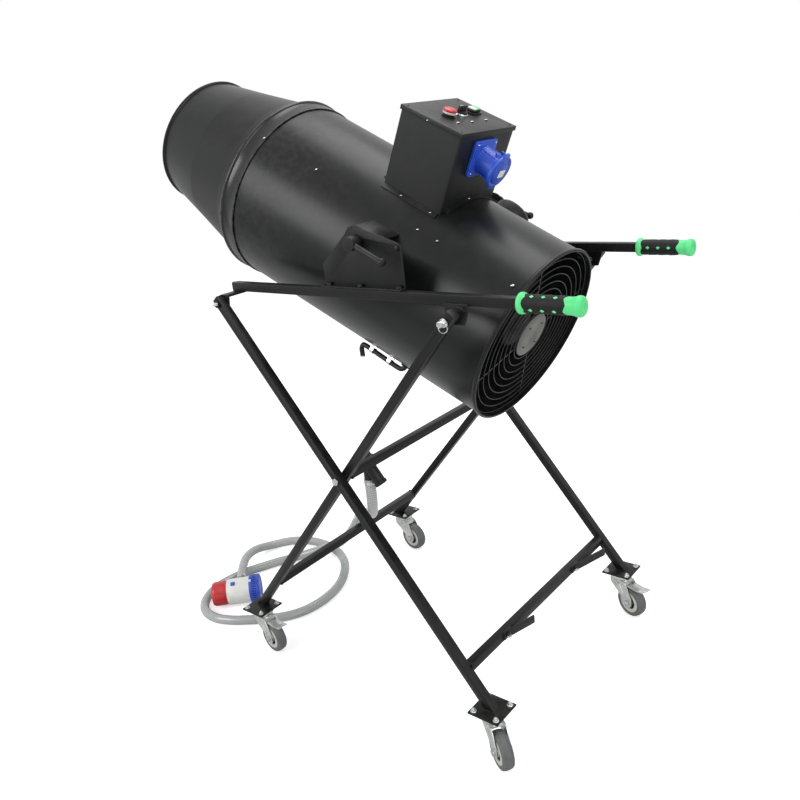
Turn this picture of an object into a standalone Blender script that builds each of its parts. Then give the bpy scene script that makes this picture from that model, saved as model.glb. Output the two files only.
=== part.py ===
# Foam machine: a tilting fan barrel on two rails, carried by a folding X stand on four casters.
# Metres, +Z up. The mouth points to -X, the grips to +X; "near" is the -Y side, "far" the +Y side.

import math

import bmesh
import bpy
from mathutils import Matrix, Vector

# Stand
tube_side = 0.020
tube_wall = 0.0015
gap = 0.0003
foot_plate_side = 0.077
hook_lift = 0.004
foot_plate_thick = 0.004
foot_plate_z = 0.1205
front_foot_x = -0.335
rear_foot_x = 0.4265
pivot_x = 0.060
pivot_z = 0.5955
outer_leg_y = 0.324
inner_leg_y = 0.301
outer_lean = math.radians(38.05)
inner_lean = math.radians(40.65)
outer_leg_top_z = 0.9985
inner_leg_top_z = 0.9965
hinge_z = 0.9865
latch_z = 0.9815
rear_bar_z = 0.203
front_bar_z = 0.2125
leg_pin_radius = 0.004

# Casters
wheel_radius = 0.0425
wheel_width = 0.028
wheel_trail = 0.037
axle_radius = 0.004
pedal_x = 0.030
pedal_z = 0.0915
fork_top_z = 0.1025
caster_turns = {
    ("front", "near"): math.radians(-8),
    ("front", "far"): math.radians(-6),
    ("rear", "near"): math.radians(-33),
    ("rear", "far"): math.radians(-20),
}
braked_casters = [("front", "near"), ("rear", "far")]

# Rails and grips
rail_y = 0.2626
rail_z = 1.0142
rail_front_x = -0.262
rail_rear_x = 0.630
grip_starts = {"near": 0.528, "far": 0.517}
grip_length = 0.125
grip_radius = 0.0165
grip_flange_radius = 0.020
trunnion_shapes = {"near": (0.034, 0.0), "far": (0.028, 0.052)}

# Barrel, in the drum's own frame: X runs backwards along its axis, Z is its upper side
tilt_x = 0.143
tilt_z = 1.1195
elevation = math.radians(25.9)
axis_drop = 0.1175
axis_forward = 0.007
drum_radius_middle = 0.2118
drum_taper = -0.0204
drum_wall = 0.002
drum_rear_x = 0.330
drum_front_x = -0.428
band_front_x = -0.452
band_rear_x = -0.408
cone_front_x = -0.7595
mouth_radius = 0.160
fan_x = 0.142
cone_rear_radius = 0.2165
round_steps = 40
feed_turn_x = 0.098
feed_side = Vector((0, -0.488, -0.873)).normalized()
feed_stand_off = 0.0125
feed_pipe_radius = 0.006
spray_ring_radius = 0.120

# Control box, in the drum's frame
box_front_x = -0.0885
box_rear_x = 0.0710
box_near_y = -0.1005
box_far_y = 0.0945
box_top = 0.3582
sheet = 0.0015
control_x = -0.0115
control_ys = (-0.040, 0.004, 0.049)
inlet_y = -0.010
inlet_z = 0.303
inlet_droop = math.radians(10)

# Supply hose and pump
hose_radius = 0.0135
hose_floor_z = hose_radius + gap
hose_step = 0.036
coupling_end = (0.0715, -0.200, 0.5325)
coupling_radius = 0.0145
coupling_length = 0.085
stub_end = (0.033, -0.200, 0.540)
pump_start = (-0.626, -0.272)
pump_end = (-0.523, -0.170)
pump_radius = 0.043
motor_cap_end = 0.045
pump_body_end = 0.114
pump_z = 0.0435
outlet_along = 0.078
outlet_reach = 0.0585

sides = {"near": -1, "far": 1}


def clear_scene():
    for thing in list(bpy.data.objects):
        bpy.data.objects.remove(thing, do_unlink=True)


def new_material(name, colour, roughness, metallic=0.0):
    made = bpy.data.materials.new(name)
    made.use_nodes = True
    shader = made.node_tree.nodes["Principled BSDF"]
    shader.inputs["Base Color"].default_value = (*colour, 1.0)
    shader.inputs["Roughness"].default_value = roughness
    shader.inputs["Metallic"].default_value = metallic
    made.diffuse_color = (*colour, 1.0)
    return made


def new_empty(name, location, parent=None, rotation=(0, 0, 0)):
    made = bpy.data.objects.new(name, None)
    bpy.context.collection.objects.link(made)
    made.location = location
    made.rotation_euler = rotation
    made.parent = parent
    return made


def shape_of(bm):
    """A loose object at the world origin, ready to be joined, cut and placed."""
    bmesh.ops.remove_doubles(bm, verts=bm.verts, dist=1e-6)
    bmesh.ops.recalc_face_normals(bm, faces=bm.faces)
    mesh = bpy.data.meshes.new("shape")
    bm.to_mesh(mesh)
    bm.free()
    made = bpy.data.objects.new("shape", mesh)
    bpy.context.collection.objects.link(made)
    return made


def block(low, high):
    bm = bmesh.new()
    bmesh.ops.create_cube(bm, size=1.0)
    for vert in bm.verts:
        vert.co = Vector(low[i] if vert.co[i] < 0 else high[i] for i in range(3))
    return shape_of(bm)


def turned(profile, steps=round_steps, axis="X", closed=True):
    """A profile of (along, radius) points, turned about an axis. Open profiles start and end on the axis."""
    bm = bmesh.new()
    points = [bm.verts.new((along, 0, radius)) for along, radius in profile]
    pairs = list(zip(points, points[1:]))
    if closed:
        pairs.append((points[-1], points[0]))
    edges = [bm.edges.new(pair) for pair in pairs]
    turn = {"cent": (0, 0, 0), "axis": (1, 0, 0), "angle": 2 * math.pi}
    bmesh.ops.spin(bm, geom=points + edges, steps=steps, use_merge=True, **turn)
    quarter = math.pi / 2
    turns = {"X": Matrix(), "Y": Matrix.Rotation(quarter, 4, "Z"), "Z": Matrix.Rotation(-quarter, 4, "Y")}
    bmesh.ops.transform(bm, matrix=turns[axis], verts=bm.verts)
    return shape_of(bm)


def rod(start, end, radius, steps=16, end_radius=None):
    start = Vector(start)
    run = Vector(end) - start
    far_radius = radius if end_radius is None else end_radius
    made = turned([(0, 0), (0, radius), (run.length, far_radius), (run.length, 0)], steps, closed=False)
    turn = Vector((1, 0, 0)).rotation_difference(run.normalized()).to_matrix().to_4x4()
    made.data.transform(Matrix.Translation(start) @ turn)
    return made


def prism(outline, low_y, high_y):
    """An outline of (x, z) points, extruded along Y."""
    bm = bmesh.new()
    face = bm.faces.new([bm.verts.new((x, low_y, z)) for x, z in outline])
    made = bmesh.ops.extrude_face_region(bm, geom=[face])
    moved = [item for item in made["geom"] if isinstance(item, bmesh.types.BMVert)]
    bmesh.ops.translate(bm, vec=(0, high_y - low_y, 0), verts=moved)
    return shape_of(bm)


def arc(centre, radius, start, end, steps):
    """Points of (x, z) on an arc, angles in degrees from +X towards +Z."""
    angles = [math.radians(start + (end - start) * i / steps) for i in range(steps + 1)]
    return [(centre[0] + radius * math.cos(a), centre[1] + radius * math.sin(a)) for a in angles]


def combined(first, others, operation):
    for other in others:
        step = first.modifiers.new("combine", "BOOLEAN")
        step.operation = operation
        step.solver = "EXACT"
        step.object = other
        graph = bpy.context.evaluated_depsgraph_get()
        mesh = bpy.data.meshes.new_from_object(first.evaluated_get(graph))
        first.modifiers.clear()
        first.data = mesh
        bpy.data.objects.remove(other, do_unlink=True)
    return first


def joined(first, *others):
    return combined(first, others, "UNION")


def cut(first, *others):
    return combined(first, others, "DIFFERENCE")


def moved(shape, offset=(0, 0, 0), turn_z=0.0, turn_y=0.0, turn_x=0.0):
    turn = Matrix.Rotation(turn_z, 4, "Z") @ Matrix.Rotation(turn_y, 4, "Y") @ Matrix.Rotation(turn_x, 4, "X")
    shape.data.transform(Matrix.Translation(offset) @ turn)
    return shape


def place(shape, name, finish, parent, location=(0, 0, 0), turn_z=0.0):
    """Gives a shape its name, material and parent. Its mesh is in its own frame, its origin at location."""
    shape.name = name
    shape.data.name = name
    shape.data.materials.clear()
    shape.data.materials.append(finish)
    shape.data.shade_smooth()
    shape.data.set_sharp_from_angle(angle=math.radians(35))
    shape.parent = parent
    shape.location = location
    shape.rotation_euler = (0, 0, turn_z)
    return shape


def place_world(shape, name, finish, parent):
    """Places a shape whose mesh is in world coordinates under an unturned empty."""
    anchor = Vector(parent.location)
    shape.data.transform(Matrix.Translation(-anchor))
    return place(shape, name, finish, parent)


def smooth_route(points, steps):
    """Points along a Catmull-Rom curve through the given ones."""
    route = [Vector(point) for point in points]
    ends = [2 * route[0] - route[1]] + route + [2 * route[-1] - route[-2]]
    made = []
    for i in range(len(route) - 1):
        a, b, c, d = ends[i : i + 4]
        for k in range(steps):
            t = k / steps
            bend = (2 * a - 5 * b + 4 * c - d) * t**2 + (3 * b - a - 3 * c + d) * t**3
            made.append(0.5 * (2 * b + (c - a) * t + bend))
    return made + [route[-1]]


def tube_along(points, name, radius, finish, parent):
    """A round tube along points in its parent's own frame."""
    curve = bpy.data.curves.new(name, "CURVE")
    curve.dimensions = "3D"
    curve.bevel_depth = radius
    curve.bevel_resolution = 2
    curve.use_fill_caps = True
    spline = curve.splines.new("POLY")
    spline.points.add(len(points) - 1)
    for point, at in zip(spline.points, points):
        point.co = (*at, 1.0)
    curve.materials.append(finish)
    made = bpy.data.objects.new(name, curve)
    bpy.context.collection.objects.link(made)
    made.parent = parent
    return made


def leg_x(side, z):
    """X of a leg's centre line at a height: side -1 leans to the front at its top, 1 to the rear."""
    lean = outer_lean if side < 0 else inner_lean
    return pivot_x + side * (z - pivot_z) * math.tan(lean)


def slanted_tube(side, low_z, high_z, centre_y):
    """A square tube along a leg's line, its foot cut level and its top cut square."""
    lean = side * (outer_lean if side < 0 else inner_lean)
    along = Vector((math.sin(lean), 0, math.cos(lean)))
    across = Vector((math.cos(lean), 0, -math.sin(lean)))
    foot = Vector((leg_x(side, low_z), centre_y, low_z))
    length = (high_z - low_z) / math.cos(lean)

    def skin(half, start, stop):
        bm = bmesh.new()
        rings = []
        for level in (start, stop):
            ring = []
            for a, b in ((-1, -1), (1, -1), (1, 1), (-1, 1)):
                offset = across * (a * half) + Vector((0, b * half, 0))
                corner = foot + offset + along * level
                if level == start:
                    corner -= along * ((corner.z - low_z - start) / along.z)
                ring.append(bm.verts.new(corner))
            rings.append(ring)
        bm.faces.new(rings[0])
        bm.faces.new(rings[1])
        for i in range(4):
            bm.faces.new((rings[0][i], rings[0][i - 1], rings[1][i - 1], rings[1][i]))
        return shape_of(bm)

    outer = skin(tube_side / 2, 0.0, length)
    inner = skin(tube_side / 2 - tube_wall, foot_plate_thick + tube_wall, length + 0.01)
    return cut(outer, inner)


def hollow_bar(low, high, axis="Y"):
    """A square tube between two corners, open at both ends along an axis."""
    inside_low = list(low)
    inside_high = list(high)
    for i in range(3):
        if "XYZ"[i] == axis:
            inside_low[i] -= 0.01
            inside_high[i] += 0.01
        else:
            inside_low[i] += tube_wall
            inside_high[i] -= tube_wall
    return cut(block(low, high), block(inside_low, inside_high))


def y_rod(x, z, low_y, high_y, radius, steps=16):
    return rod((x, low_y, z), (x, high_y, z), radius, steps)


def leg_with_plate(side, sign, leg_y, foot_x, plate_y, top_z, pin_x, pin_z, pin_hole):
    half = foot_plate_side / 2
    leg = slanted_tube(side, foot_plate_z + foot_plate_thick / 2, top_z, sign * leg_y)
    plate = block(
        (foot_x - half, sign * plate_y - half, foot_plate_z),
        (foot_x + half, sign * plate_y + half, foot_plate_z + foot_plate_thick),
    )
    made = joined(leg, plate)
    reach = tube_side
    cutters = [
        y_rod(pivot_x, pivot_z, sign * leg_y - reach, sign * leg_y + reach, 0.0055),
        y_rod(pin_x, pin_z, sign * leg_y - reach, sign * leg_y + reach, pin_hole),
    ]
    return cut(made, *cutters)


def make_materials():
    return {
        "frame": new_material("black_powder_coat", (0.022, 0.023, 0.024), 0.45, 0.2),
        "barrel": new_material("black_satin_sheet", (0.016, 0.017, 0.018), 0.35, 0.3),
        "zinc": new_material("zinc_plate", (0.62, 0.64, 0.62), 0.35, 0.9),
        "steel": new_material("bare_steel", (0.55, 0.56, 0.57), 0.3, 1.0),
        "tyre": new_material("grey_tyre", (0.12, 0.15, 0.155), 0.7),
        "grip": new_material("black_grip", (0.02, 0.02, 0.02), 0.8),
        "blue": new_material("blue_plastic", (0.03, 0.11, 0.55), 0.35),
        "red": new_material("red_plastic", (0.55, 0.03, 0.03), 0.35),
        "green": new_material("green_plastic", (0.10, 0.75, 0.25), 0.4),
        "white": new_material("white_plastic", (0.85, 0.85, 0.82), 0.35),
        "black_plastic": new_material("black_plastic", (0.02, 0.02, 0.02), 0.5),
        "hose": new_material("clear_braided_hose", (0.55, 0.57, 0.56), 0.3),
    }


def make_legs(finish, inner_frame, outer_frame):
    hinge_x = leg_x(-1, hinge_z)
    latch_x = leg_x(1, latch_z)
    for name, sign in sides.items():
        outer = leg_with_plate(
            -1, sign, outer_leg_y, rear_foot_x, outer_leg_y - 0.002, outer_leg_top_z, hinge_x, hinge_z, 0.0045
        )
        place_world(outer, f"outer_leg_{name}", finish["frame"], outer_frame)
        inner = leg_with_plate(
            1, sign, inner_leg_y, front_foot_x, inner_leg_y + 0.011, inner_leg_top_z, latch_x, latch_z, 0.0045
        )
        place_world(inner, f"inner_leg_{name}", finish["frame"], inner_frame)


def make_cross_bars(finish, inner_frame, outer_frame):
    half = tube_side / 2
    rear_x = leg_x(-1, rear_bar_z)
    rear_y = outer_leg_y - half - gap
    rear = hollow_bar((rear_x - half, -rear_y, rear_bar_z - half), (rear_x + half, rear_y, rear_bar_z + half))
    place_world(rear, "rear_cross_bar", finish["frame"], outer_frame)
    front_x = leg_x(1, front_bar_z)
    front_y = inner_leg_y - half - gap
    front = hollow_bar(
        (front_x - half, -front_y, front_bar_z - half), (front_x + half, front_y, front_bar_z + half)
    )
    place_world(front, "front_cross_bar", finish["frame"], inner_frame)
    middle = hollow_bar((pivot_x - half, -front_y, pivot_z - half), (pivot_x + half, front_y, pivot_z + half))
    place_world(middle, "pivot_tube", finish["frame"], inner_frame)


def make_pivot_rod(finish, outer_frame):
    """One long rod runs through both outer legs, both inner legs and the pivot tube."""
    reach = outer_leg_y + tube_side / 2
    made = y_rod(pivot_x, pivot_z, -reach - 0.009, reach + 0.009, 0.005)
    for sign in sides.values():
        start = sign * (reach + gap)
        made = joined(made, y_rod(pivot_x, pivot_z, start, start + sign * 0.006, 0.009, 6))
    place_world(made, "pivot_rod", finish["steel"], outer_frame)


def make_hooks(finish, outer_frame):
    """Flat hooks bolted to the back of the rear bar, each standing off towards the far side."""
    face_x = leg_x(-1, rear_bar_z) + tube_side / 2 + gap
    for name, bolt_y, length in (("near", -0.176, 0.086), ("far", 0.148, 0.114)):
        strap = block((0, -0.012, -0.010), (0.004, length, 0.010))
        foot = block((0, -0.012, -0.010), (0.004, 0.016, 0.010))
        moved(strap, turn_z=math.radians(-16))
        made = joined(foot, strap, rod((0, 0, 0), (0.009, 0, 0), 0.006, 12))
        made = cut(made, block((-0.02, -0.05, -0.02), (0, 0.2, 0.02)))
        moved(made, (face_x, bolt_y, rear_bar_z + hook_lift))
        place_world(made, f"strap_hook_{name}", finish["frame"], outer_frame)


def make_casters(finish, inner_frame, outer_frame):
    for end, foot_x, foot_y, frame in (
        ("front", front_foot_x, inner_leg_y + 0.011, inner_frame),
        ("rear", rear_foot_x, outer_leg_y - 0.002, outer_frame),
    ):
        for name, sign in sides.items():
            make_caster(finish, frame, end, name, (foot_x, sign * foot_y))


def make_caster(finish, frame, end, name, centre):
    label = f"{end}_{name}"
    top = foot_plate_z - gap
    base = block((-0.034, -0.034, top - 0.0025), (0.034, 0.034, top))
    low = fork_top_z + gap
    race_profile = [(low, 0), (low, 0.0255), (low + 0.004, 0.029), (top - 0.001, 0.029), (top - 0.001, 0)]
    race = turned(race_profile, 20, "Z", False)
    place_world(moved(joined(base, race), (*centre, 0)), f"caster_base_{label}", finish["zinc"], frame)
    swivel = new_empty(f"caster_swivel_{label}", (*centre, 0), rotation=(0, 0, caster_turns[end, name]))
    place(caster_fork(), f"caster_fork_{label}", finish["zinc"], swivel)
    place(caster_wheel(), f"caster_wheel_{label}", finish["tyre"], swivel, (wheel_trail, 0, wheel_radius))
    if (end, name) in braked_casters:
        place(brake_pedal(), f"brake_pedal_{label}", finish["zinc"], swivel, (pedal_x, 0, pedal_z))


def caster_fork():
    """A pressed fork: round top, two tapering cheeks and the axle, with X along the trail."""
    cheek_in = wheel_width / 2 + 0.002
    cheek_out = cheek_in + 0.0025
    top = fork_top_z
    made = turned([(top - 0.006, 0), (top - 0.006, 0.024), (top, 0.0265), (top, 0)], 20, "Z", False)
    made = joined(made, block((-0.024, -cheek_out, top - 0.007), (0.028, cheek_out, top - 0.004)))
    outline = [(-0.024, top - 0.0045), (-0.023, 0.084), (wheel_trail - 0.0155, 0.048)]
    outline += arc((wheel_trail, wheel_radius), 0.0145, 180, 345, 6)
    outline += [(0.050, 0.060), (0.036, 0.088), (0.028, top - 0.0045)]
    for low, high in ((-cheek_out, -cheek_in), (cheek_in, cheek_out)):
        made = joined(made, prism(outline, low, high))
    axle_end = cheek_out + 0.004
    made = joined(made, y_rod(wheel_trail, wheel_radius, -axle_end, axle_end, axle_radius, 12))
    for sign in (-1, 1):
        start = sign * (cheek_out - 0.0005)
        made = joined(made, y_rod(wheel_trail, wheel_radius, start, start + sign * 0.004, 0.0075, 6))
    return made


def caster_wheel():
    half = wheel_width / 2
    bore = axle_radius + 0.0004
    rim = wheel_radius - 0.0055
    hub = 0.012
    profile = []
    for side in (-1, 1):
        face = [(half, bore), (half, hub), (half - 0.003, hub + 0.001), (half - 0.003, rim - 0.008)]
        face += [(half, rim - 0.006), (half, rim + 0.001), (half - 0.005, wheel_radius)]
        profile += [(side * along, radius) for along, radius in face[::-side]]
    return turned(profile, 22, "Y")


def brake_pedal():
    """A pressed foot pedal that turns about its front edge, just above the wheel."""
    outline = [(0.0, -0.002), (0.038, -0.002), (0.062, 0.003)]
    outline += [(0.062, 0.0055), (0.037, 0.0006), (0.0, 0.0006)]
    return prism(outline, -0.015, 0.015)


def make_rails(finish, rails_frame):
    half = tube_side / 2
    for name, sign in sides.items():
        low = (rail_front_x, sign * rail_y - half, rail_z - half)
        high = (rail_rear_x, sign * rail_y + half, rail_z + half)
        rail = hollow_bar(low, high, "X")
        tab_y = sign * rail_y
        tab_low = (rail_front_x - 0.006, tab_y - 0.003, low[2])
        tab = block(tab_low, (rail_front_x + 0.02, tab_y + 0.003, high[2]))
        plug = block((rail_front_x + 0.004, low[1], low[2]), (rail_front_x + 0.012, high[1], high[2]))
        rail = joined(rail, tab, plug, *latch_shapes(sign))
        place_world(rail, f"side_rail_{name}", finish["frame"], rails_frame)
        make_grip(finish, rails_frame, name, sign)


def make_grip(finish, rails_frame, name, sign):
    """A soft sleeve with a flange at the front and a round knob at the rear, over the square rail."""
    end = grip_length
    profile = [
        (0, 0), (0, grip_flange_radius), (0.006, grip_flange_radius), (0.010, grip_radius - 0.001),
        (0.018, grip_radius), (end - 0.040, grip_radius), (end - 0.032, grip_radius - 0.001),
        (end - 0.020, 0.0165), (end - 0.012, 0.019), (end - 0.004, 0.018), (end, 0.013), (end, 0),
    ]
    grip = turned(profile, 22, "X", False)
    half = tube_side / 2 + gap
    start_x = grip_starts[name]
    socket = block((-0.01, -half, -half), (rail_rear_x - start_x + gap, half, half))
    grip = cut(grip, socket)
    place_world(moved(grip, (start_x, sign * rail_y, rail_z)), f"grip_{name}", finish["grip"], rails_frame)


def make_hinge_brackets(finish, rails_frame):
    """Each bracket hangs from a rail's front end and reaches out to the outer leg's top."""
    hinge_x = leg_x(-1, hinge_z)
    rail_low = rail_z - tube_side / 2 - gap
    leg_face = outer_leg_y - tube_side / 2 - gap
    for name, sign in sides.items():
        inner_y = sign * (rail_y - 0.010)
        cheek_y = sign * (leg_face - 0.004)
        outline = [(hinge_x - 0.016, rail_low), (hinge_x + 0.016, rail_low)]
        outline += arc((hinge_x, hinge_z), 0.013, -20, -160, 8)
        cheek = prism(outline, min(cheek_y, sign * leg_face), max(cheek_y, sign * leg_face))
        shelf = block(
            (hinge_x - 0.016, min(inner_y, sign * leg_face), rail_low - 0.004),
            (hinge_x + 0.016, max(inner_y, sign * leg_face), rail_low),
        )
        outer_face = sign * (outer_leg_y + tube_side / 2)
        pin = y_rod(hinge_x, hinge_z, cheek_y, outer_face + sign * 0.008, 0.004)
        head = y_rod(hinge_x, hinge_z, outer_face + sign * 0.0012, outer_face + sign * 0.0065, 0.0075, 6)
        bracket = joined(cheek, shelf, pin, head)
        place_world(bracket, f"hinge_bracket_{name}", finish["frame"], rails_frame)


def latch_shapes(sign):
    """A hooked plate welded to a rail's outer face, which takes the pull pin in the inner leg's top."""
    latch_x = leg_x(1, latch_z)
    rail_face = rail_y + tube_side / 2
    ys = sorted((sign * (rail_face - 0.0007), sign * (rail_face + 0.0043)))
    under = rail_z - 0.0057
    outline = [(latch_x - 0.024, under), (latch_x - 0.024, latch_z + 0.0055), (latch_x, latch_z + 0.0055)]
    outline += arc((latch_x, latch_z), 0.0055, 60, -90, 6)
    outline += [(latch_x - 0.020, latch_z - 0.0055), (latch_x - 0.020, latch_z - 0.014)]
    rear = latch_x + 0.030
    outline += [(latch_x + 0.020, latch_z - 0.014), (rear, latch_z + 0.013), (rear, under)]
    bolt_ys = sign * (rail_face + 0.002), sign * (rail_face + 0.008)
    bolt = y_rod(latch_x + 0.018, latch_z + 0.0155, *bolt_ys, 0.0055, 6)
    return prism(outline, *ys), bolt


def make_lock_pins(finish, inner_frame):
    latch_x = leg_x(1, latch_z)
    pin_tip = rail_y + tube_side / 2 - 0.0057
    leg_face = inner_leg_y + tube_side / 2 + 0.0006
    for name, sign in sides.items():
        pin = y_rod(0, 0, sign * pin_tip, sign * (leg_face + 0.004), leg_pin_radius)
        head = y_rod(0, 0, sign * leg_face, sign * (leg_face + 0.006), 0.009, 16)
        knob = y_rod(0, 0, sign * (leg_face + 0.005), sign * (leg_face + 0.018), 0.0065, 16)
        place(
            joined(pin, head, knob), f"lock_pin_{name}", finish["steel"], inner_frame,
            (latch_x - pivot_x, 0, latch_z - pivot_z),
        )


def make_trunnions(finish, rails_frame):
    """An angle plate bolted on each rail carries the tilt stud, with a stop bolt at its rear corner."""
    rail_top = rail_z + tube_side / 2 + gap
    for name, sign in sides.items():
        inner = sign * (rail_y - tube_side / 2)
        ys = sorted((inner, inner + sign * 0.004))
        top_radius, rear_drop = trunnion_shapes[name]
        rear_z = tilt_z - rear_drop
        outline = [(0.038, rail_top), (0.2597, rail_top), (0.2597, rear_z - 0.006), (0.247, rear_z)]
        outline += arc((tilt_x, tilt_z), top_radius, 50, 150, 10)
        outline += [(0.038, tilt_z - 0.047)]
        plate = prism(outline, *ys)
        foot_ys = sorted((inner, sign * (rail_y + tube_side / 2)))
        foot = block((0.038, foot_ys[0], rail_top), (0.2597, foot_ys[1], rail_top + 0.004))
        plate = joined(plate, foot)
        plate = cut(plate, y_rod(tilt_x, tilt_z, inner - 0.01, inner + 0.01, 0.0064))
        for bolt_x in (0.055, 0.144, 0.249):
            low = (bolt_x, sign * rail_y, rail_top + 0.003)
            plate = joined(plate, rod(low, (bolt_x, sign * rail_y, rail_top + 0.009), 0.0055, 6))
        plate = joined(plate, y_rod(0.250, rear_z - 0.012, inner, inner + sign * 0.010, 0.0055, 6))
        place_world(plate, f"trunnion_plate_{name}", finish["frame"], rails_frame)


def make_clamp_levers(finish, rails_frame):
    start = rail_y - tube_side / 2 + 0.004 + gap
    anchor = Vector(rails_frame.location)
    for name, sign in sides.items():
        hub = y_rod(0, 0, sign * start, sign * (start + 0.026), 0.016, 20)
        root, tip_at = (0.008, sign * (start + 0.018), -0.003), (0.084, sign * (start + 0.026), -0.034)
        arm = rod(root, tip_at, 0.0065, 12, 0.0055)
        tip = turned([(-0.009, 0), (-0.006, 0.007), (0.0, 0.009), (0.006, 0.007), (0.009, 0)], 12, "X", False)
        tip = moved(tip, (0.086, sign * (start + 0.0262), -0.0345))
        lever = cut(joined(hub, arm, tip), y_rod(0, 0, sign * (start - 0.01), sign * (start + 0.022), 0.0064))
        place(
            lever, f"clamp_lever_{name}", finish["black_plastic"], rails_frame,
            (tilt_x - anchor.x, 0, tilt_z - anchor.z),
        )


def drum_radius(x):
    return drum_radius_middle + drum_taper * x


def drum_cutter(clearance):
    low, high = drum_front_x, drum_rear_x
    radii = [drum_radius(low) + clearance, drum_radius(high) + clearance]
    return turned([(low, 0), (low, radii[0]), (high, radii[1]), (high, 0)], round_steps, closed=False)


def make_drum(finish, drum):
    rear = drum_rear_x
    front = drum_front_x
    skin = drum_radius(rear)
    profile = [
        (front, drum_radius(front)), (rear - 0.010, skin), (rear - 0.008, skin + 0.004),
        (rear, skin + 0.004), (rear, skin - drum_wall), (front, drum_radius(front) - drum_wall),
    ]
    shell = turned(profile)
    skin = drum_radius(feed_turn_x)
    hole_ends = feed_point(feed_turn_x, skin - 0.03), feed_point(feed_turn_x, skin + 0.03)
    hole = rod(*hole_ends, feed_pipe_radius + 0.004)
    place(cut(shell, hole), "drum_shell", finish["barrel"], drum)

    front_skin = drum_radius(front)
    band = [
        (band_rear_x, front_skin + 0.0010), (band_rear_x, front_skin + 0.0030),
        (band_rear_x - 0.006, front_skin + 0.0022), (band_front_x + 0.010, front_skin + 0.0022),
        (band_front_x + 0.007, front_skin + 0.0055), (band_front_x + 0.003, front_skin + 0.0062),
        (band_front_x, front_skin + 0.0040), (band_front_x, front_skin + 0.0010),
    ]
    place(turned(band), "joint_band", finish["barrel"], drum)

    collar = front_skin
    cone = [
        (front - gap, collar), (front - 0.020, collar), (front - 0.024, cone_rear_radius),
        (cone_front_x + 0.008, mouth_radius), (cone_front_x + 0.007, mouth_radius + 0.0035),
        (cone_front_x + 0.002, mouth_radius + 0.0045), (cone_front_x, mouth_radius + 0.0015),
        (cone_front_x, mouth_radius - drum_wall), (cone_front_x + 0.008, mouth_radius - drum_wall),
        (front - 0.024, cone_rear_radius - drum_wall), (front - gap, collar - drum_wall),
    ]
    place(turned(cone), "mouth_cone", finish["barrel"], drum)


def make_fan(finish, drum):
    """The motor hangs on four arms inside the drum's rear, with the impeller in front of it."""
    front, rear = fan_x + 0.053, fan_x + 0.143
    arm_x = fan_x + 0.102
    wall = drum_radius(arm_x) - drum_wall - 0.002
    body_profile = [
        (front, 0), (front, 0.044), (front + 0.006, 0.050), (rear - 0.006, 0.050), (rear, 0.044), (rear, 0)
    ]
    body = turned(body_profile, 24, "X", False)
    for i in range(4):
        arm = block((arm_x, -0.010, 0.040), (arm_x + 0.004, 0.010, wall))
        body = joined(body, moved(arm, turn_x=math.radians(45 + 90 * i)))
    shaft = rod((fan_x + 0.008, 0, 0), (front + 0.005, 0, 0), 0.006)
    place(joined(body, shaft), "fan_motor", finish["black_plastic"], drum)

    low, high = fan_x - 0.002, fan_x + 0.038
    hub = turned([(low, 0.0064), (low, 0.036), (low + 0.004, 0.042), (high, 0.042), (high, 0.0064)], 22)
    blade_root, blade_tip = 0.030, 0.186
    for i in range(5):
        blade = block((-0.0015, -0.034, blade_root), (0.0015, 0.034, blade_tip))
        for vert in blade.data.vertices:
            twist = math.radians(62 - 34 * (vert.co.z - blade_root) / (blade_tip - blade_root))
            flat = Vector((vert.co.x, vert.co.y))
            vert.co.x = flat.x * math.cos(twist) - flat.y * math.sin(twist) * 0.45
            vert.co.y = flat.x * math.sin(twist) + flat.y * math.cos(twist) * 0.9
        blade = moved(blade, (fan_x + 0.020, 0, 0), turn_x=math.radians(72 * i))
        hub = joined(hub, blade)
    place(hub, "impeller", finish["black_plastic"], drum)


def make_guard(finish, drum):
    """Flat wire rings on four spokes, with a plain round plate in the middle."""
    guard_x = drum_rear_x - 0.012
    wire = 0.0011
    outer = drum_radius(guard_x) - drum_wall - 0.0015
    disc_radius = 0.052
    made = rod((guard_x - 0.001, 0, 0), (guard_x + 0.004, 0, 0), disc_radius, 24)
    for i in range(4):
        root = disc_radius - 0.006
        spoke = block((guard_x - 0.0015, -0.0015, root), (guard_x + 0.0005, 0.0015, outer - 0.001))
        made = joined(made, moved(spoke, turn_x=math.radians(90 * i + 20)))
    rings = 8
    for i in range(rings):
        radius = disc_radius + (outer - disc_radius) * (i + 1) / rings - wire
        section = [(guard_x - wire, radius), (guard_x + wire, radius - wire), (guard_x + wire, radius + wire)]
        made = joined(made, turned(section, 22))
    place(made, "fan_guard", finish["frame"], drum)


def feed_point(x, radius):
    return Vector((x, 0, 0)) + feed_side * radius


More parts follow.
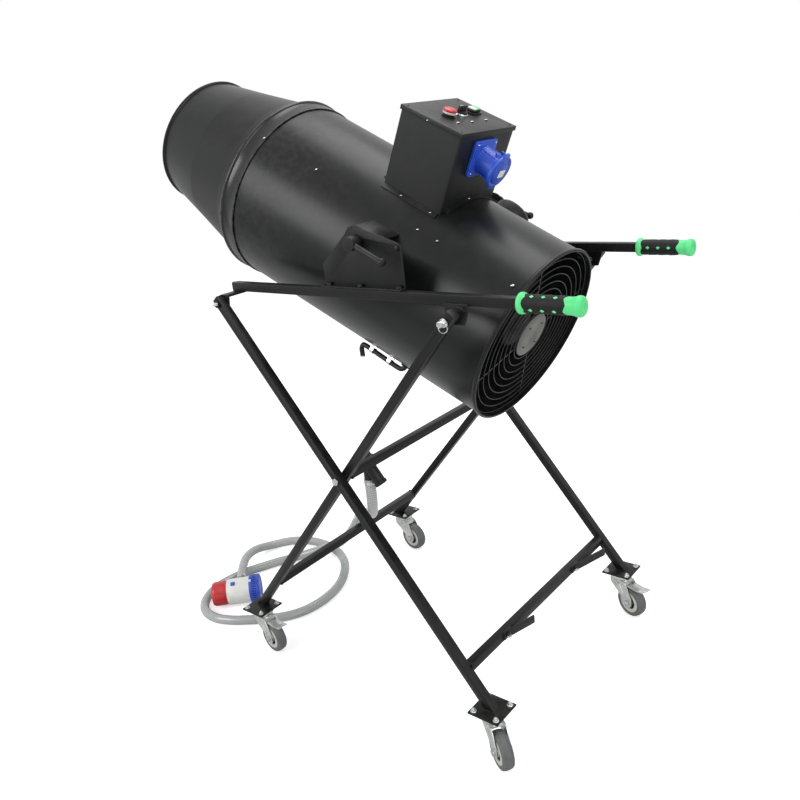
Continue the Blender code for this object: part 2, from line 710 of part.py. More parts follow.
def make_feed(finish, drum):
    """The feed pipe lies under the drum, its open end hanging, and turns in to the spray ring."""
    skin = drum_radius(feed_turn_x)
    stand_off = drum_radius(0) + feed_stand_off
    bend = feed_point(-0.038, stand_off)
    hanging = Vector((math.sin(elevation), 0, -math.cos(elevation)))
    bend_inside = (hanging + Vector((1, 0, 0))).normalized() * 0.009
    route = [bend + hanging * down for down in (0.036, 0.028, 0.016)]
    route += [bend + bend_inside, bend + Vector((0.016, 0, 0)), feed_point(0.030, stand_off)]
    route += [feed_point(feed_turn_x - 0.016, stand_off), feed_point(feed_turn_x - 0.004, stand_off - 0.004)]
    route += [feed_point(feed_turn_x, skin), feed_point(feed_turn_x, spray_ring_radius + 0.050)]
    route += [feed_point(feed_turn_x, spray_ring_radius + 0.025 + gap)]
    tube_along(smooth_route(route, 3), "feed_pipe", feed_pipe_radius, finish["black_plastic"], drum)

    ring = arc((feed_turn_x, spray_ring_radius), 0.008, 0, 300, 5)
    made = turned(ring, 24)
    socket = feed_point(feed_turn_x, spray_ring_radius), feed_point(feed_turn_x, spray_ring_radius + 0.025)
    made = joined(made, rod(*socket, 0.0075, 12))
    for i in range(8):
        low = (feed_turn_x - 0.006, 0, spray_ring_radius)
        nozzle = rod(low, (feed_turn_x - 0.018, 0, spray_ring_radius), 0.004, 8, 0.0025)
        made = joined(made, moved(nozzle, turn_x=math.radians(45 * i)))
    place(made, "spray_ring", finish["steel"], drum)


def make_screen(finish, drum):
    """A ring with two crossing bars, which carries the foam net inside the cone's collar."""
    x = drum_front_x + 0.030
    outer = drum_radius(x) - drum_wall - 0.0008
    low, high, inner = x - 0.004, x + 0.004, outer - 0.008
    made = turned([(low, inner), (high, inner), (high, outer), (low, outer)], 28)
    half = 0.003
    reach = outer - 0.004
    made = joined(made, block((x - 0.001, -half, -reach), (x + 0.001, half, reach)))
    made = joined(made, block((x - 0.0014, -reach, -half), (x + 0.0006, reach, half)))
    place(made, "foam_screen", finish["steel"], drum)


def make_box(finish, drum):
    """A folded sheet box, open at the top and fitted to the drum below."""
    near, far = box_near_y, box_far_y
    shell = block((box_front_x, near, 0.120), (box_rear_x, far, box_top))
    inside_low = (box_front_x + sheet, near + sheet, 0.100)
    shell = cut(shell, block(inside_low, (box_rear_x - sheet, far - sheet, box_top + 0.01)))
    feet = []
    for low, high in ((near - 0.012, near + 0.0008), (far - 0.0008, far + 0.012)):
        feet.append(block((box_front_x + 0.010, low, 0.140), (box_rear_x - 0.010, high, 0.205)))
    for low, high in ((box_front_x - 0.012, box_front_x + 0.0008), (box_rear_x - 0.0008, box_rear_x + 0.012)):
        feet.append(block((low, near + 0.02, 0.150), (high, far - 0.02, 0.225)))
    shell = joined(shell, *feet)
    shell = cut(shell, drum_cutter(0.0008))
    port = rod((box_rear_x - 0.02, inlet_y, inlet_z), (box_rear_x + 0.02, inlet_y, inlet_z), 0.024)
    outer = [drum_radius(x) + 0.0028 for x in (-0.13, 0.11)]
    keep = turned([(-0.13, 0), (-0.13, outer[0]), (0.11, outer[1]), (0.11, 0)], round_steps, closed=False)
    keep = joined(keep, block((box_front_x, near, 0.1), (box_rear_x, far, box_top + 0.01)))
    shell = combined(cut(shell, port), [keep], "INTERSECT")
    place(shell, "control_box", finish["barrel"], drum)

    overhang = 0.0025
    low = (box_front_x - overhang, near - overhang, box_top - 0.008)
    high = (box_rear_x + overhang, far + overhang, box_top + gap + sheet)
    lid = block(low, high)
    wall = 0.0018
    inside_low = (low[0] + wall, low[1] + wall, low[2] - 0.01)
    lid = cut(lid, block(inside_low, (high[0] - wall, high[1] - wall, high[2] - sheet)))
    for y in control_ys:
        lid = cut(lid, rod((control_x, y, box_top - 0.02), (control_x, y, box_top + 0.02), 0.0095))
    place(lid, "box_lid", finish["barrel"], drum)


def make_controls(finish, drum):
    """Stop button, speed selector and lit start switch, each with its barrel through the lid."""
    seat = box_top + gap + sheet + gap
    low = seat - 0.016
    stop_profile = [(low, 0), (low, 0.0085), (seat + 0.0065, 0.0085), (seat + 0.0065, 0.0150)]
    stop_profile += [(seat + 0.0125, 0.0150), (seat + 0.0155, 0.0100), (seat + 0.0165, 0)]
    stop = turned(stop_profile, 24, "Z", False)
    place(stop, "stop_button", finish["red"], drum, (control_x, control_ys[0], 0))
    selector_profile = [(low, 0), (low, 0.0085), (seat, 0.0085), (seat, 0.0135)]
    selector_profile += [(seat + 0.006, 0.0125), (seat + 0.006, 0)]
    selector = turned(selector_profile, 24, "Z", False)
    selector = joined(selector, block((-0.0035, -0.0125, seat + 0.004), (0.0035, 0.0125, seat + 0.019)))
    place(selector, "selector_knob", finish["black_plastic"], drum, (control_x, control_ys[1], 0))
    start = rod((0, 0, low), (0, 0, seat + 0.004), 0.0085, 20)
    start = joined(start, block((-0.010, -0.012, seat + 0.003), (0.010, 0.012, seat + 0.012)))
    place(start, "start_switch", finish["green"], drum, (control_x, control_ys[2], 0))


def make_inlet(finish, drum):
    """The blue power inlet: square flange, drooping round body and a sprung lid on its upper edge."""
    face = box_rear_x + gap
    flange = block((face, inlet_y - 0.039, inlet_z - 0.038), (face + 0.008, inlet_y + 0.039, inlet_z + 0.038))
    plug = rod((face - 0.012, inlet_y, inlet_z), (face + 0.004, inlet_y, inlet_z), 0.0225, 24)
    outer, inner, depth = 0.029, 0.0245, 0.048
    body_profile = [(0, 0), (0, outer), (depth, outer), (depth, inner), (0.014, inner), (0.014, 0)]
    body = turned(body_profile, 28, "X", False)
    ear = block((0.038, -0.012, 0.026), (0.048, 0.012, 0.0345))
    body = moved(joined(body, ear), (face + 0.001, inlet_y, inlet_z), turn_y=inlet_droop)
    back_low = (face + 0.0005, inlet_y - 0.05, inlet_z - 0.06)
    back = block(back_low, (face + 0.10, inlet_y + 0.05, inlet_z + 0.08))
    place(joined(flange, plug, combined(body, [back], "INTERSECT")), "power_inlet", finish["blue"], drum)
    lid_profile = [(0, 0), (0, 0.034), (0.003, 0.0365), (0.008, 0.0355), (0.010, 0.031), (0.010, 0)]
    lid = turned(lid_profile, 28, "X", False)
    lid = joined(moved(lid, (0, 0, -0.038)), block((0, -0.014, -0.012), (0.008, 0.014, 0.005)))
    hinge = Vector((depth + gap, 0, 0.036))
    hinge.rotate(Matrix.Rotation(inlet_droop, 3, "Y"))
    hinge += Vector((face + 0.001, inlet_y, inlet_z))
    lid_frame = new_empty("inlet_hinge", hinge, drum, (0, inlet_droop, 0))
    place(lid, "inlet_lid", finish["blue"], lid_frame)


def make_terminal_cover(finish, drum):
    """A shallow round cover on the drum's far upper side, behind the box."""
    x, angle = 0.092, math.radians(50)
    made = turned([(-0.03, 0), (-0.03, 0.044), (0.025, 0.044), (0.031, 0.039), (0.031, 0)], 28, "Z", False)
    radius = drum_radius(x)
    made = moved(made, turn_x=-angle)
    made = moved(made, (x, radius * math.sin(angle), radius * math.cos(angle)))
    place(cut(made, drum_cutter(0.0008)), "terminal_cover", finish["black_plastic"], drum)


def make_side_lugs(finish, drum):
    """Folded lugs welded to the drum's sides carry the tilt studs."""
    plate_out = rail_y - tube_side / 2 - 0.004
    stud_out = plate_out + 0.028
    x, z = -axis_forward, axis_drop
    for name, sign in sides.items():
        ys = sorted((sign * 0.150, sign * plate_out))
        outside = block((x - 0.036, ys[0], z - 0.060), (x + 0.036, ys[1], z + 0.016))
        ys = sorted((sign * 0.140, sign * (plate_out - 0.003)))
        inside = block((x - 0.050, ys[0], z - 0.057), (x + 0.050, ys[1], z + 0.013))
        lug = cut(outside, inside, drum_cutter(0.0008))
        stud = y_rod(x, z, sign * (plate_out - 0.0035), sign * stud_out, 0.006)
        place(joined(lug, stud), f"drum_lug_{name}", finish["barrel"], drum)


def make_coupling(finish, inner_frame):
    """The hose coupling is clipped in front of the pivot tube, parallel to the outer legs."""
    up = Vector((-math.sin(outer_lean), 0, math.cos(outer_lean)))
    low = Vector(coupling_end)
    body = rod(low, low + up * coupling_length, coupling_radius, 24)
    stub = rod(stub_end, (stub_end[0], stub_end[1], stub_end[2] + 0.042), 0.0125, 20)
    saddle_x = pivot_x - tube_side / 2 - gap
    half = 0.009
    saddle_low = (saddle_x - 0.016, low.y - half, pivot_z - half)
    saddle = block(saddle_low, (saddle_x, low.y + half, pivot_z + half))
    made = cut(joined(body, stub, saddle), rod(low - up * 0.01, low + up * 0.006, 0.0105, 20))
    place_world(made, "hose_coupling", finish["black_plastic"], inner_frame)


def pump_axis():
    start = Vector((*pump_start, pump_z))
    run = Vector((*pump_end, pump_z)) - start
    return start, run.normalized(), run.length


def outlet_point(distance):
    """A point on the pump outlet's centre line, so far out from the pump's axis."""
    start, along, _ = pump_axis()
    return start + along * outlet_along + Vector((-along.y, along.x, 0)) * distance


def hose_route():
    """From the coupling over the front bar to the floor, once round the pump and back to its outlet."""
    floor = hose_floor_z
    x, y, top = stub_end
    return [
        (x, y, top - gap), (x, y, top - 0.010), (x, y, top - 0.022), (0.0300, -0.1975, 0.4880),
        (0.0200, -0.1890, 0.4580), (0.0010, -0.1725, 0.4300), (-0.030, -0.1455, 0.4050), (-0.075, -0.107, 0.376),
        (-0.130, -0.060, 0.343), (-0.198, -0.006, 0.300), (-0.262, 0.041, 0.2555), (-0.310, 0.071, 0.213),
        (-0.353, 0.090, 0.165), (-0.397, 0.101, 0.119), (-0.445, 0.106, 0.079), (-0.500, 0.098, 0.051),
        (-0.552, 0.077, 0.030), (-0.596, 0.045, 0.0165), (-0.628, 0.004, floor), (-0.653, -0.045, floor),
        (-0.676, -0.094, floor), (-0.690, -0.145, floor), (-0.694, -0.197, floor), (-0.682, -0.248, floor),
        (-0.652, -0.291, floor), (-0.608, -0.318, floor), (-0.557, -0.323, floor), (-0.508, -0.307, floor),
        (-0.465, -0.281, floor), (-0.425, -0.252, floor), (-0.384, -0.218, floor), (-0.353, -0.174, floor),
        (-0.338, -0.120, floor), (-0.338, -0.063, floor), (-0.352, -0.006, floor), (-0.382, 0.050, floor),
        (-0.428, 0.102, floor), (-0.490, 0.140, floor), (-0.562, 0.157, floor), (-0.635, 0.151, floor),
        (-0.697, 0.117, floor), (-0.733, 0.060, floor + 0.003), (-0.736, -0.004, floor + 0.018),
        (-0.713, -0.064, floor + 0.0272), outlet_point(0.145), outlet_point(0.105), outlet_point(0.082),
        outlet_point(0.071), outlet_point(outlet_reach + gap),
    ]


def spaced(points, step, kept_ends):
    """Points at least a step apart, with all of the first and last few kept."""
    middle_start, middle_end = kept_ends, len(points) - kept_ends
    made = list(points[:middle_start])
    for point in points[middle_start:middle_end]:
        if (point - made[-1]).length >= step and (point - points[middle_end]).length >= step / 2:
            made.append(point)
    return made + list(points[middle_end:])


def least_gap(points, radius):
    """The least clear space between two stretches of a tube that lie over five diameters apart along it."""
    reach = [0.0]
    for start, end in zip(points, points[1:]):
        reach.append(reach[-1] + (end - start).length)
    pairs = [
        (points[i] - points[j]).length
        for i in range(len(points)) for j in range(i)
        if reach[i] - reach[j] > 10 * radius
    ]
    return min(pairs) - 2 * radius, reach[-1]


def make_hose(finish, inner_frame):
    fine = smooth_route(hose_route(), 8)
    clear, length = least_gap(fine, hose_radius)
    print(f"supply_hose: {length:.3f} m, least gap to itself {clear * 1000:.1f} mm")
    anchor = Vector(inner_frame.location)
    points = [point - anchor for point in spaced(fine, hose_step, 9)]
    tube_along(points, "supply_hose", hose_radius, finish["hose"], inner_frame)


def make_pump(finish, inner_frame):
    """A submersible pump on its side: motor cap, body with the outlet, and strainer."""
    start, along, length = pump_axis()
    turn = math.atan2(along.y, along.x)
    cap_profile = [(0, 0), (0, 0.031), (0.004, 0.035), (motor_cap_end, 0.036), (motor_cap_end, 0)]
    cap = turned(cap_profile, 24, "X", False)
    low = motor_cap_end + gap
    body_profile = [(low, 0), (low, 0.036), (low + 0.004, 0.0385)]
    body_profile += [(pump_body_end, 0.0395), (pump_body_end, 0)]
    body = turned(body_profile, 24, "X", False)
    low = pump_body_end + gap
    rim = length - 0.004
    strainer_profile = [
        (low, 0), (low, 0.041), (low + 0.004, pump_radius), (rim, pump_radius), (length, 0.040), (length, 0)
    ]
    strainer = turned(strainer_profile, 24, "X", False)
    outlet = rod((outlet_along, 0.020, 0), (outlet_along, outlet_reach, 0), 0.0120, 16)
    pieces = {"pump_motor_cap": (cap, "red"), "pump_body": (joined(body, outlet), "white")}
    pieces["pump_strainer"] = (strainer, "blue")
    for name, (shape, colour) in pieces.items():
        place_world(moved(shape, start, turn_z=turn), name, finish[colour], inner_frame)


def main():
    clear_scene()
    finish = make_materials()
    inner_frame = new_empty("inner_frame", (pivot_x, 0, pivot_z))
    outer_frame = new_empty("outer_frame", (pivot_x, 0, pivot_z))
    rails_frame = new_empty("rails_frame", (leg_x(-1, hinge_z), 0, hinge_z))
    tilt = new_empty("barrel_tilt", (tilt_x, 0, tilt_z), rotation=(0, elevation, 0))
    drum = new_empty("drum_axis", (axis_forward, 0, -axis_drop), tilt)
    make_legs(finish, inner_frame, outer_frame)
    make_cross_bars(finish, inner_frame, outer_frame)
    make_pivot_rod(finish, outer_frame)
    make_hooks(finish, outer_frame)
    make_casters(finish, inner_frame, outer_frame)
    make_rails(finish, rails_frame)
    make_hinge_brackets(finish, rails_frame)
    make_lock_pins(finish, inner_frame)
    make_trunnions(finish, rails_frame)
    make_clamp_levers(finish, rails_frame)
    make_drum(finish, drum)
    make_fan(finish, drum)
    make_guard(finish, drum)
    make_feed(finish, drum)
    make_screen(finish, drum)
    make_box(finish, drum)
    make_controls(finish, drum)
    make_inlet(finish, drum)
    make_terminal_cover(finish, drum)
    make_side_lugs(finish, drum)
    make_coupling(finish, inner_frame)
    make_hose(finish, inner_frame)
    make_pump(finish, inner_frame)


main()
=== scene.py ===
import math

import bmesh
import bpy
from mathutils import Matrix, Vector


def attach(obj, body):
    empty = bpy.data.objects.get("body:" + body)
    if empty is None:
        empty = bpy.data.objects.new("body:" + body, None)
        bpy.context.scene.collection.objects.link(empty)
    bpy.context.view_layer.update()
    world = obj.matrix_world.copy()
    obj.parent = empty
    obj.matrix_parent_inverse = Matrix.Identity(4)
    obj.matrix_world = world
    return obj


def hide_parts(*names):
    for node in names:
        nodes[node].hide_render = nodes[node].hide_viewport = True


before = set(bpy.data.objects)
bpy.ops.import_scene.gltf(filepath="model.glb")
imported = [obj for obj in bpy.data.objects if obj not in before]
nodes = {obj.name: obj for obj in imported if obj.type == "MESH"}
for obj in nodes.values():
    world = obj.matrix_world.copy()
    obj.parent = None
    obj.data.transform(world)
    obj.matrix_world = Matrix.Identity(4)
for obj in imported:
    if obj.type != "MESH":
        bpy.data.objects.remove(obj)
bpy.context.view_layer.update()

scene = bpy.context.scene
sides = {"near": -1, "far": 1}
ends = ("front", "rear")
print("frame loaded:", len(nodes), "nodes")

# the photograph's camera
cameraView = {
    "lens": 36.511,
    "sensor": 36,
    "rows": (
        (0.76964, -0.12679, 0.62576, 1.28908),
        (0.62851, 0.32298, -0.70757, -1.4761),
        (-0.11239, 0.93788, 0.32827, 1.35066),
        (0, 0, 0, 1),
    ),
}


def makeCamera():
    camera = bpy.data.objects.new("photoCamera", bpy.data.cameras.new("photoCamera"))
    camera.data.lens = cameraView["lens"]
    camera.data.sensor_width = cameraView["sensor"]
    camera.data.clip_end = 60
    scene.collection.objects.link(camera)
    camera.matrix_world = Matrix(cameraView["rows"])
    scene.camera = camera
    scene.view_settings.view_transform = "Standard"


makeCamera()

# soft studio light: a large soft box on the camera's left, a weaker one on the right, one overhead
studio = {
    "worldStrength": 0.55,
    "aim": (0, 0, 0.75),
    "floorSize": 14,
    "floorColour": (0.82, 0.82, 0.82),
    "floorRoughness": 0.9,
    "floorGlow": 0.55,
    "boxes": {
        "keyBox": {"at": (-1.4, -3.2, 2.7), "size": (1.8, 1.8), "power": 78},
        "fillBox": {"at": (3.0, -1.2, 1.9), "size": (1.6, 2.0), "power": 34},
        "topBox": {"at": (0.2, 0.8, 3.6), "size": (2.4, 1.6), "power": 52},
    },
}


def feed(tree, socket, value):
    # links another socket into an input, or writes a plain value there
    if isinstance(value, bpy.types.NodeSocket):
        tree.links.new(value, socket)
    else:
        socket.default_value = value


def addNode(tree, kind, inputs=None, **settings):
    # makes a node with its settings and inputs, and gives back its outputs
    made = tree.nodes.new(kind)
    for label, value in settings.items():
        setattr(made, label, value)
    for label, value in (inputs or {}).items():
        feed(tree, made.inputs[label], value)
    return made.outputs


def mathNode(tree, operation, first, second=None, clamp=False):
    inputs = {0: first} if second is None else {0: first, 1: second}
    return addNode(tree, "ShaderNodeMath", inputs, operation=operation, use_clamp=clamp)[0]


def whiteForCamera(tree, lit):
    # camera, mirror and see-through rays find plain white; all others find the lit shader
    path = addNode(tree, "ShaderNodeLightPath")
    seen = mathNode(tree, "MAXIMUM", path["Is Camera Ray"], path["Is Glossy Ray"])
    seen = mathNode(tree, "MAXIMUM", seen, path["Is Transmission Ray"])
    white = addNode(tree, "ShaderNodeBackground", {"Color": (1, 1, 1, 1), "Strength": 1.0})[0]
    return addNode(tree, "ShaderNodeMixShader", {0: seen, 1: lit.outputs[0], 2: white})[0]


def makeStudio():
    world = bpy.data.worlds.new("studioWorld")
    world.use_nodes = True
    scene.world = world
    tree = world.node_tree
    lit = tree.nodes["Background"]
    lit.inputs["Color"].default_value = (1, 1, 1, 1)
    lit.inputs["Strength"].default_value = studio["worldStrength"]
    feed(tree, tree.nodes["World Output"].inputs["Surface"], whiteForCamera(tree, lit))

    for name, look in studio["boxes"].items():
        light = bpy.data.lights.new(name, "AREA")
        light.shape = "RECTANGLE"
        light.size, light.size_y = look["size"]
        light.energy = look["power"]
        lamp = bpy.data.objects.new(name, light)
        scene.collection.objects.link(lamp)
        lamp.location = look["at"]
        aim = Vector(studio["aim"]) - Vector(look["at"])
        lamp.rotation_euler = aim.to_track_quat("-Z", "Y").to_euler()

    # the floor glows a little for the camera alone, so that it meets the white backdrop but keeps the shadow
    half = studio["floorSize"] / 2
    bm = bmesh.new()
    corners = ((-half, -half), (half, -half), (half, half), (-half, half))
    bm.faces.new([bm.verts.new((x, y, 0)) for x, y in corners])
    mesh = bpy.data.meshes.new("studioFloor")
    bm.to_mesh(mesh)
    bm.free()
    floor = bpy.data.objects.new("studioFloor", mesh)
    scene.collection.objects.link(floor)
    paper = bpy.data.materials.new("studioPaper")
    paper.use_nodes = True
    tree = paper.node_tree
    seen = addNode(tree, "ShaderNodeLightPath")["Is Camera Ray"]
    glow = mathNode(tree, "MULTIPLY", seen, studio["floorGlow"])
    for label, value in (
        ("Base Color", (*studio["floorColour"], 1)), ("Roughness", studio["floorRoughness"]),
        ("Emission Color", (1, 1, 1, 1)), ("Emission Strength", glow),
    ):
        feed(tree, tree.nodes["Principled BSDF"].inputs[label], value)
    mesh.materials.append(paper)


makeStudio()
print("camera, lights and floor made")

# mesh helpers
xToZ = Matrix.Rotation(-math.pi / 2, 4, "Y")
xToY = Matrix.Rotation(math.pi / 2, 4, "Z")
zToX = Matrix.Rotation(math.pi / 2, 4, "Y")
squareSigns = ((-1, -1), (1, -1), (1, 1), (-1, 1))


def rectangle(halfX, halfY):
    return [(a * halfX, b * halfY) for a, b in squareSigns]


def turned(degrees, axis="X"):
    return Matrix.Rotation(math.radians(degrees), 4, axis)


def outward(angle):
    # the direction at an angle about X, from the top towards the near side
    return Vector((0, -math.sin(angle), math.cos(angle)))


def moved(bm, matrix):
    bmesh.ops.transform(bm, matrix=matrix, verts=bm.verts)
    return bm


def shifted(points, along=0.0, radius=0.0):
    return [(along + a, radius + b) for a, b in points]


def joinRings(bm, rings, closed=False, caps=False):
    # faces between rings of corners, one after another; a ring of one corner is a tip
    pairs = list(zip(rings, rings[1:]))
    if closed:
        pairs.append((rings[-1], rings[0]))
    for first, second in pairs:
        steps = max(len(first), len(second))
        for i in range(steps):
            j = (i + 1) % steps
            loop = [ring[k % len(ring)] for ring, k in ((first, i), (first, j), (second, j), (second, i))]
            corners = list(dict.fromkeys(loop))
            if len(corners) > 2:
                bm.faces.new(corners)
    if caps:
        bm.faces.new(rings[0])
        bm.faces.new(rings[-1])
    bmesh.ops.recalc_face_normals(bm, faces=bm.faces)
    return bm


def lathe(profile, steps=64, closed=False):
    # (along, radius) points turned about X; an open profile starts and ends on the axis
    bm = bmesh.new()
    rings = []
    for along, radius in profile:
        angles = [2 * math.pi * i / steps for i in range(1 if radius < 1e-6 else steps)]
        rings.append([bm.verts.new((along, -radius * math.sin(a), radius * math.cos(a))) for a in angles])
    return joinRings(bm, rings, closed)


def roundBlock(low, high, radius=0.0006, steps=2):
    bm = bmesh.new()
    bmesh.ops.create_cube(bm, size=1)
    for vert in bm.verts:
        vert.co = Vector([low[i] if vert.co[i] < 0 else high[i] for i in range(3)])
    bmesh.ops.bevel(bm, geom=bm.edges[:], offset=radius, segments=steps, profile=0.5, affect="EDGES")
    return bm


def roundCorners(points, radius, steps=4):
    # the same outline with each corner cut to an arc, as wide as its two edges allow
    made = []
    for i, corner in enumerate(points):
        here = Vector(corner)
        back = Vector(points[i - 1]) - here
        ahead = Vector(points[(i + 1) % len(points)]) - here
        reach = min(radius, back.length * 0.45, ahead.length * 0.45)
        start = here + back.normalized() * reach
        stop = here + ahead.normalized() * reach
        for k in range(steps + 1):
            t = k / steps
            made.append(start.lerp(here, t).lerp(here.lerp(stop, t), t))
    return made


def plate(outline, low, high, rim=0.0005, steps=2):
    # an (x, y) outline raised from z low to z high, its two rims rounded
    bm = bmesh.new()
    face = bm.faces.new([bm.verts.new((x, y, low)) for x, y in outline])
    made = bmesh.ops.extrude_face_region(bm, geom=[face])
    top = [item for item in made["geom"] if isinstance(item, bmesh.types.BMVert)]
    bmesh.ops.translate(bm, vec=(0, 0, high - low), verts=top)
    bmesh.ops.recalc_face_normals(bm, faces=bm.faces)
    if rim:
        rims = [edge for edge in bm.edges if abs(edge.verts[0].co.z - edge.verts[1].co.z) < 1e-7]
        bmesh.ops.bevel(bm, geom=rims, offset=rim, segments=steps, profile=0.5, affect="EDGES")
    return bm


def ringOf(bm, centre, across, up, radius, sides):
    ring = []
    for i in range(sides):
        a = 2 * math.pi * i / sides
        ring.append(bm.verts.new(centre + across * (radius * math.cos(a)) + up * (radius * math.sin(a))))
    return ring


def tube(points, radius, sides=14, closed=False):
    # a round tube along points; its UV map runs in metres along it and once round it
    bm = bmesh.new()
    sheet = bm.loops.layers.uv.new("UVMap")
    points = [Vector(point) for point in points]
    count = len(points)
    rings = []
    reach = [0.0]
    up = None
    for i, point in enumerate(points):
        before = points[i - 1] if closed or i else point
        after = points[(i + 1) % count] if closed or i < count - 1 else point
        along = (after - before).normalized()
        if up is None:
            up = along.orthogonal().normalized()
        up = (up - along * up.dot(along)).normalized()
        rings.append(ringOf(bm, point, along.cross(up), up, radius, sides))
        if i:
            reach.append(reach[-1] + (point - points[i - 1]).length)
    spans = list(range(count - 1)) + ([count - 1] if closed else [])
    for i in spans:
        j = (i + 1) % count
        far = reach[j] if j else reach[i] + (points[0] - points[i]).length
        for k in range(sides):
            m = (k + 1) % sides
            face = bm.faces.new((rings[i][k], rings[i][m], rings[j][m], rings[j][k]))
            spots = ((reach[i], k), (reach[i], k + 1), (far, k + 1), (far, k))
            for loop, (u, v) in zip(face.loops, spots):
                loop[sheet].uv = (u, v / sides)
    if not closed:
        bm.faces.new(rings[0])
        bm.faces.new(rings[-1])
    bmesh.ops.recalc_face_normals(bm, faces=bm.faces)
    return bm


def strap(points, across, width, thick):
    # a flat strip along points, its width in one fixed direction
    bm = bmesh.new()
    rings = []
    for i, point in enumerate(points):
        along = (points[min(i + 1, len(points) - 1)] - points[max(i - 1, 0)]).normalized()
        up = along.cross(across).normalized()
        rings.append([
            bm.verts.new(point + across * (a * width / 2) + up * (b * thick / 2)) for a, b in squareSigns
        ])
    return joinRings(bm, rings, caps=True)


def slab(bm, under, over):
    # closes two like grids of corners into one solid: both sheets, then the rim between them
    rows, columns = len(under) - 1, len(under[0]) - 1
    for sheet in (under, over):
        for i in range(rows):
            for j in range(columns):
                bm.faces.new((sheet[i][j], sheet[i + 1][j], sheet[i + 1][j + 1], sheet[i][j + 1]))
    rim = [(i, 0) for i in range(rows + 1)] + [(rows, j) for j in range(1, columns + 1)]
    rim += [(i, columns) for i in range(rows - 1, -1, -1)] + [(0, j) for j in range(columns - 1, 0, -1)]
    for (i, j), (k, m) in zip(rim, rim[1:] + rim[:1]):
        bm.faces.new((under[i][j], under[k][m], over[k][m], over[i][j]))
    bmesh.ops.recalc_face_normals(bm, faces=bm.faces)
    return bm


def smoothRoute(points, steps):
    # points along a Catmull-Rom curve through the given ones
    route = [Vector(point) for point in points]
    guides = [2 * route[0] - route[1]] + route + [2 * route[-1] - route[-2]]
    made = []
    for i in range(len(route) - 1):
        a, b, c, d = guides[i : i + 4]
        for k in range(steps):
            t = k / steps
            bend = (2 * a - 5 * b + 4 * c - d) * t**2 + (3 * b - a - 3 * c + d) * t**3
            made.append(0.5 * (2 * b + (c - a) * t + bend))
    return made + [route[-1]]


def turnTo(direction, axis=(0, 0, 1)):
    return Vector(axis).rotation_difference(Vector(direction).normalized()).to_matrix().to_4x4()


def placed(bm, at=(0, 0, 0), facing=None, turn=None):
    # moves a shape made about Z so that its Z points along facing
    move = Matrix.Translation(at)
    if facing is not None:
        move = move @ turnTo(facing)
    if turn is not None:
        move = move @ turn
    return moved(bm, move)


def gathered(*shapes):
    target = bmesh.new()
    for shape in shapes:
        mesh = bpy.data.meshes.new("shape")
        shape.to_mesh(mesh)
        shape.free()
        target.from_mesh(mesh)
        bpy.data.meshes.remove(mesh)
    return target


def dress(name, mesh, finish, body, stands, angle):
    mesh.materials.clear()
    mesh.materials.append(finishes[finish])
    mesh.shade_smooth()
    mesh.set_sharp_from_angle(angle=math.radians(angle))
    made = bpy.data.objects.new(name, mesh)
    scene.collection.objects.link(made)
    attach(made, body)
    if stands:
        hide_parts(*stands)
    return made


def piece(name, bm, finish, body, stands=(), angle=38):
    bmesh.ops.remove_doubles(bm, verts=bm.verts, dist=1e-6)
    mesh = bpy.data.meshes.new(name)
    bm.to_mesh(mesh)
    bm.free()
    return dress(name, mesh, finish, body, stands, angle)


def softened(node, finish, body, edge=0.0007, steps=2, angle=40, name=None):
    # a merged copy of a CAD node with its sharp outer edges rounded, which stands for that node
    bm = bmesh.new()
    bm.from_mesh(nodes[node].data)
    bmesh.ops.remove_doubles(bm, verts=bm.verts, dist=2e-5)
    bmesh.ops.dissolve_limit(
        bm, angle_limit=math.radians(1.2), verts=bm.verts, edges=bm.edges, use_dissolve_boundaries=False
    )
    sharp = [
        line for line in bm.edges
        if len(line.link_faces) == 2 and line.is_convex and line.calc_face_angle(0) > math.radians(angle)
    ]
    bmesh.ops.bevel(
        bm, geom=sharp, offset=edge, segments=steps, profile=0.5, affect="EDGES", clamp_overlap=True
    )
    return piece(name or f"{node}_finished", bm, finish, body, (node,))


# shader groups, which several finishes share


def newGroup(name, inputs, outputs):
    tree = bpy.data.node_groups.new(name, "ShaderNodeTree")
    for label, value in inputs.items():
        socket = tree.interface.new_socket(label, in_out="INPUT", socket_type="NodeSocketFloat")
        socket.default_value = value
    for label in outputs:
        tree.interface.new_socket(label, in_out="OUTPUT", socket_type="NodeSocketFloat")
    return tree, tree.nodes.new("NodeGroupInput").outputs, tree.nodes.new("NodeGroupOutput").inputs


def rangeNode(tree, value, low, high, start=0.0, stop=1.0):
    inputs = {"Value": value, "From Min": low, "From Max": high, "To Min": start, "To Max": stop}
    return addNode(tree, "ShaderNodeMapRange", inputs)["Result"]


def objectNoise(tree, size, detail):
    # noise with features of about the given size, in metres
    inputs = {
        "Vector": addNode(tree, "ShaderNodeTexCoord")["Object"],
        "Scale": mathNode(tree, "DIVIDE", 1.0, size), "Detail": detail,
    }
    return addNode(tree, "ShaderNodeTexNoise", inputs)["Fac"]


def endMask(tree, start, end, first, second):
    both = mathNode(tree, "MULTIPLY", first, second)
    feed(tree, end["Mask"], mathNode(tree, "MULTIPLY", both, start["Amount"], True))
    return tree


def makeCoatGrain():
    # the fine skin of powder coat or moulded plastic, and broad patches of handling
    tree, start, end = newGroup("coatGrain", {"Grain Size": 0.001, "Patch Size": 0.06}, ("Height", "Patches"))
    feed(tree, end["Height"], objectNoise(tree, start["Grain Size"], 1.0))
    feed(tree, end["Patches"], rangeNode(tree, objectNoise(tree, start["Patch Size"], 4.0), 0.35, 0.68))
    return tree


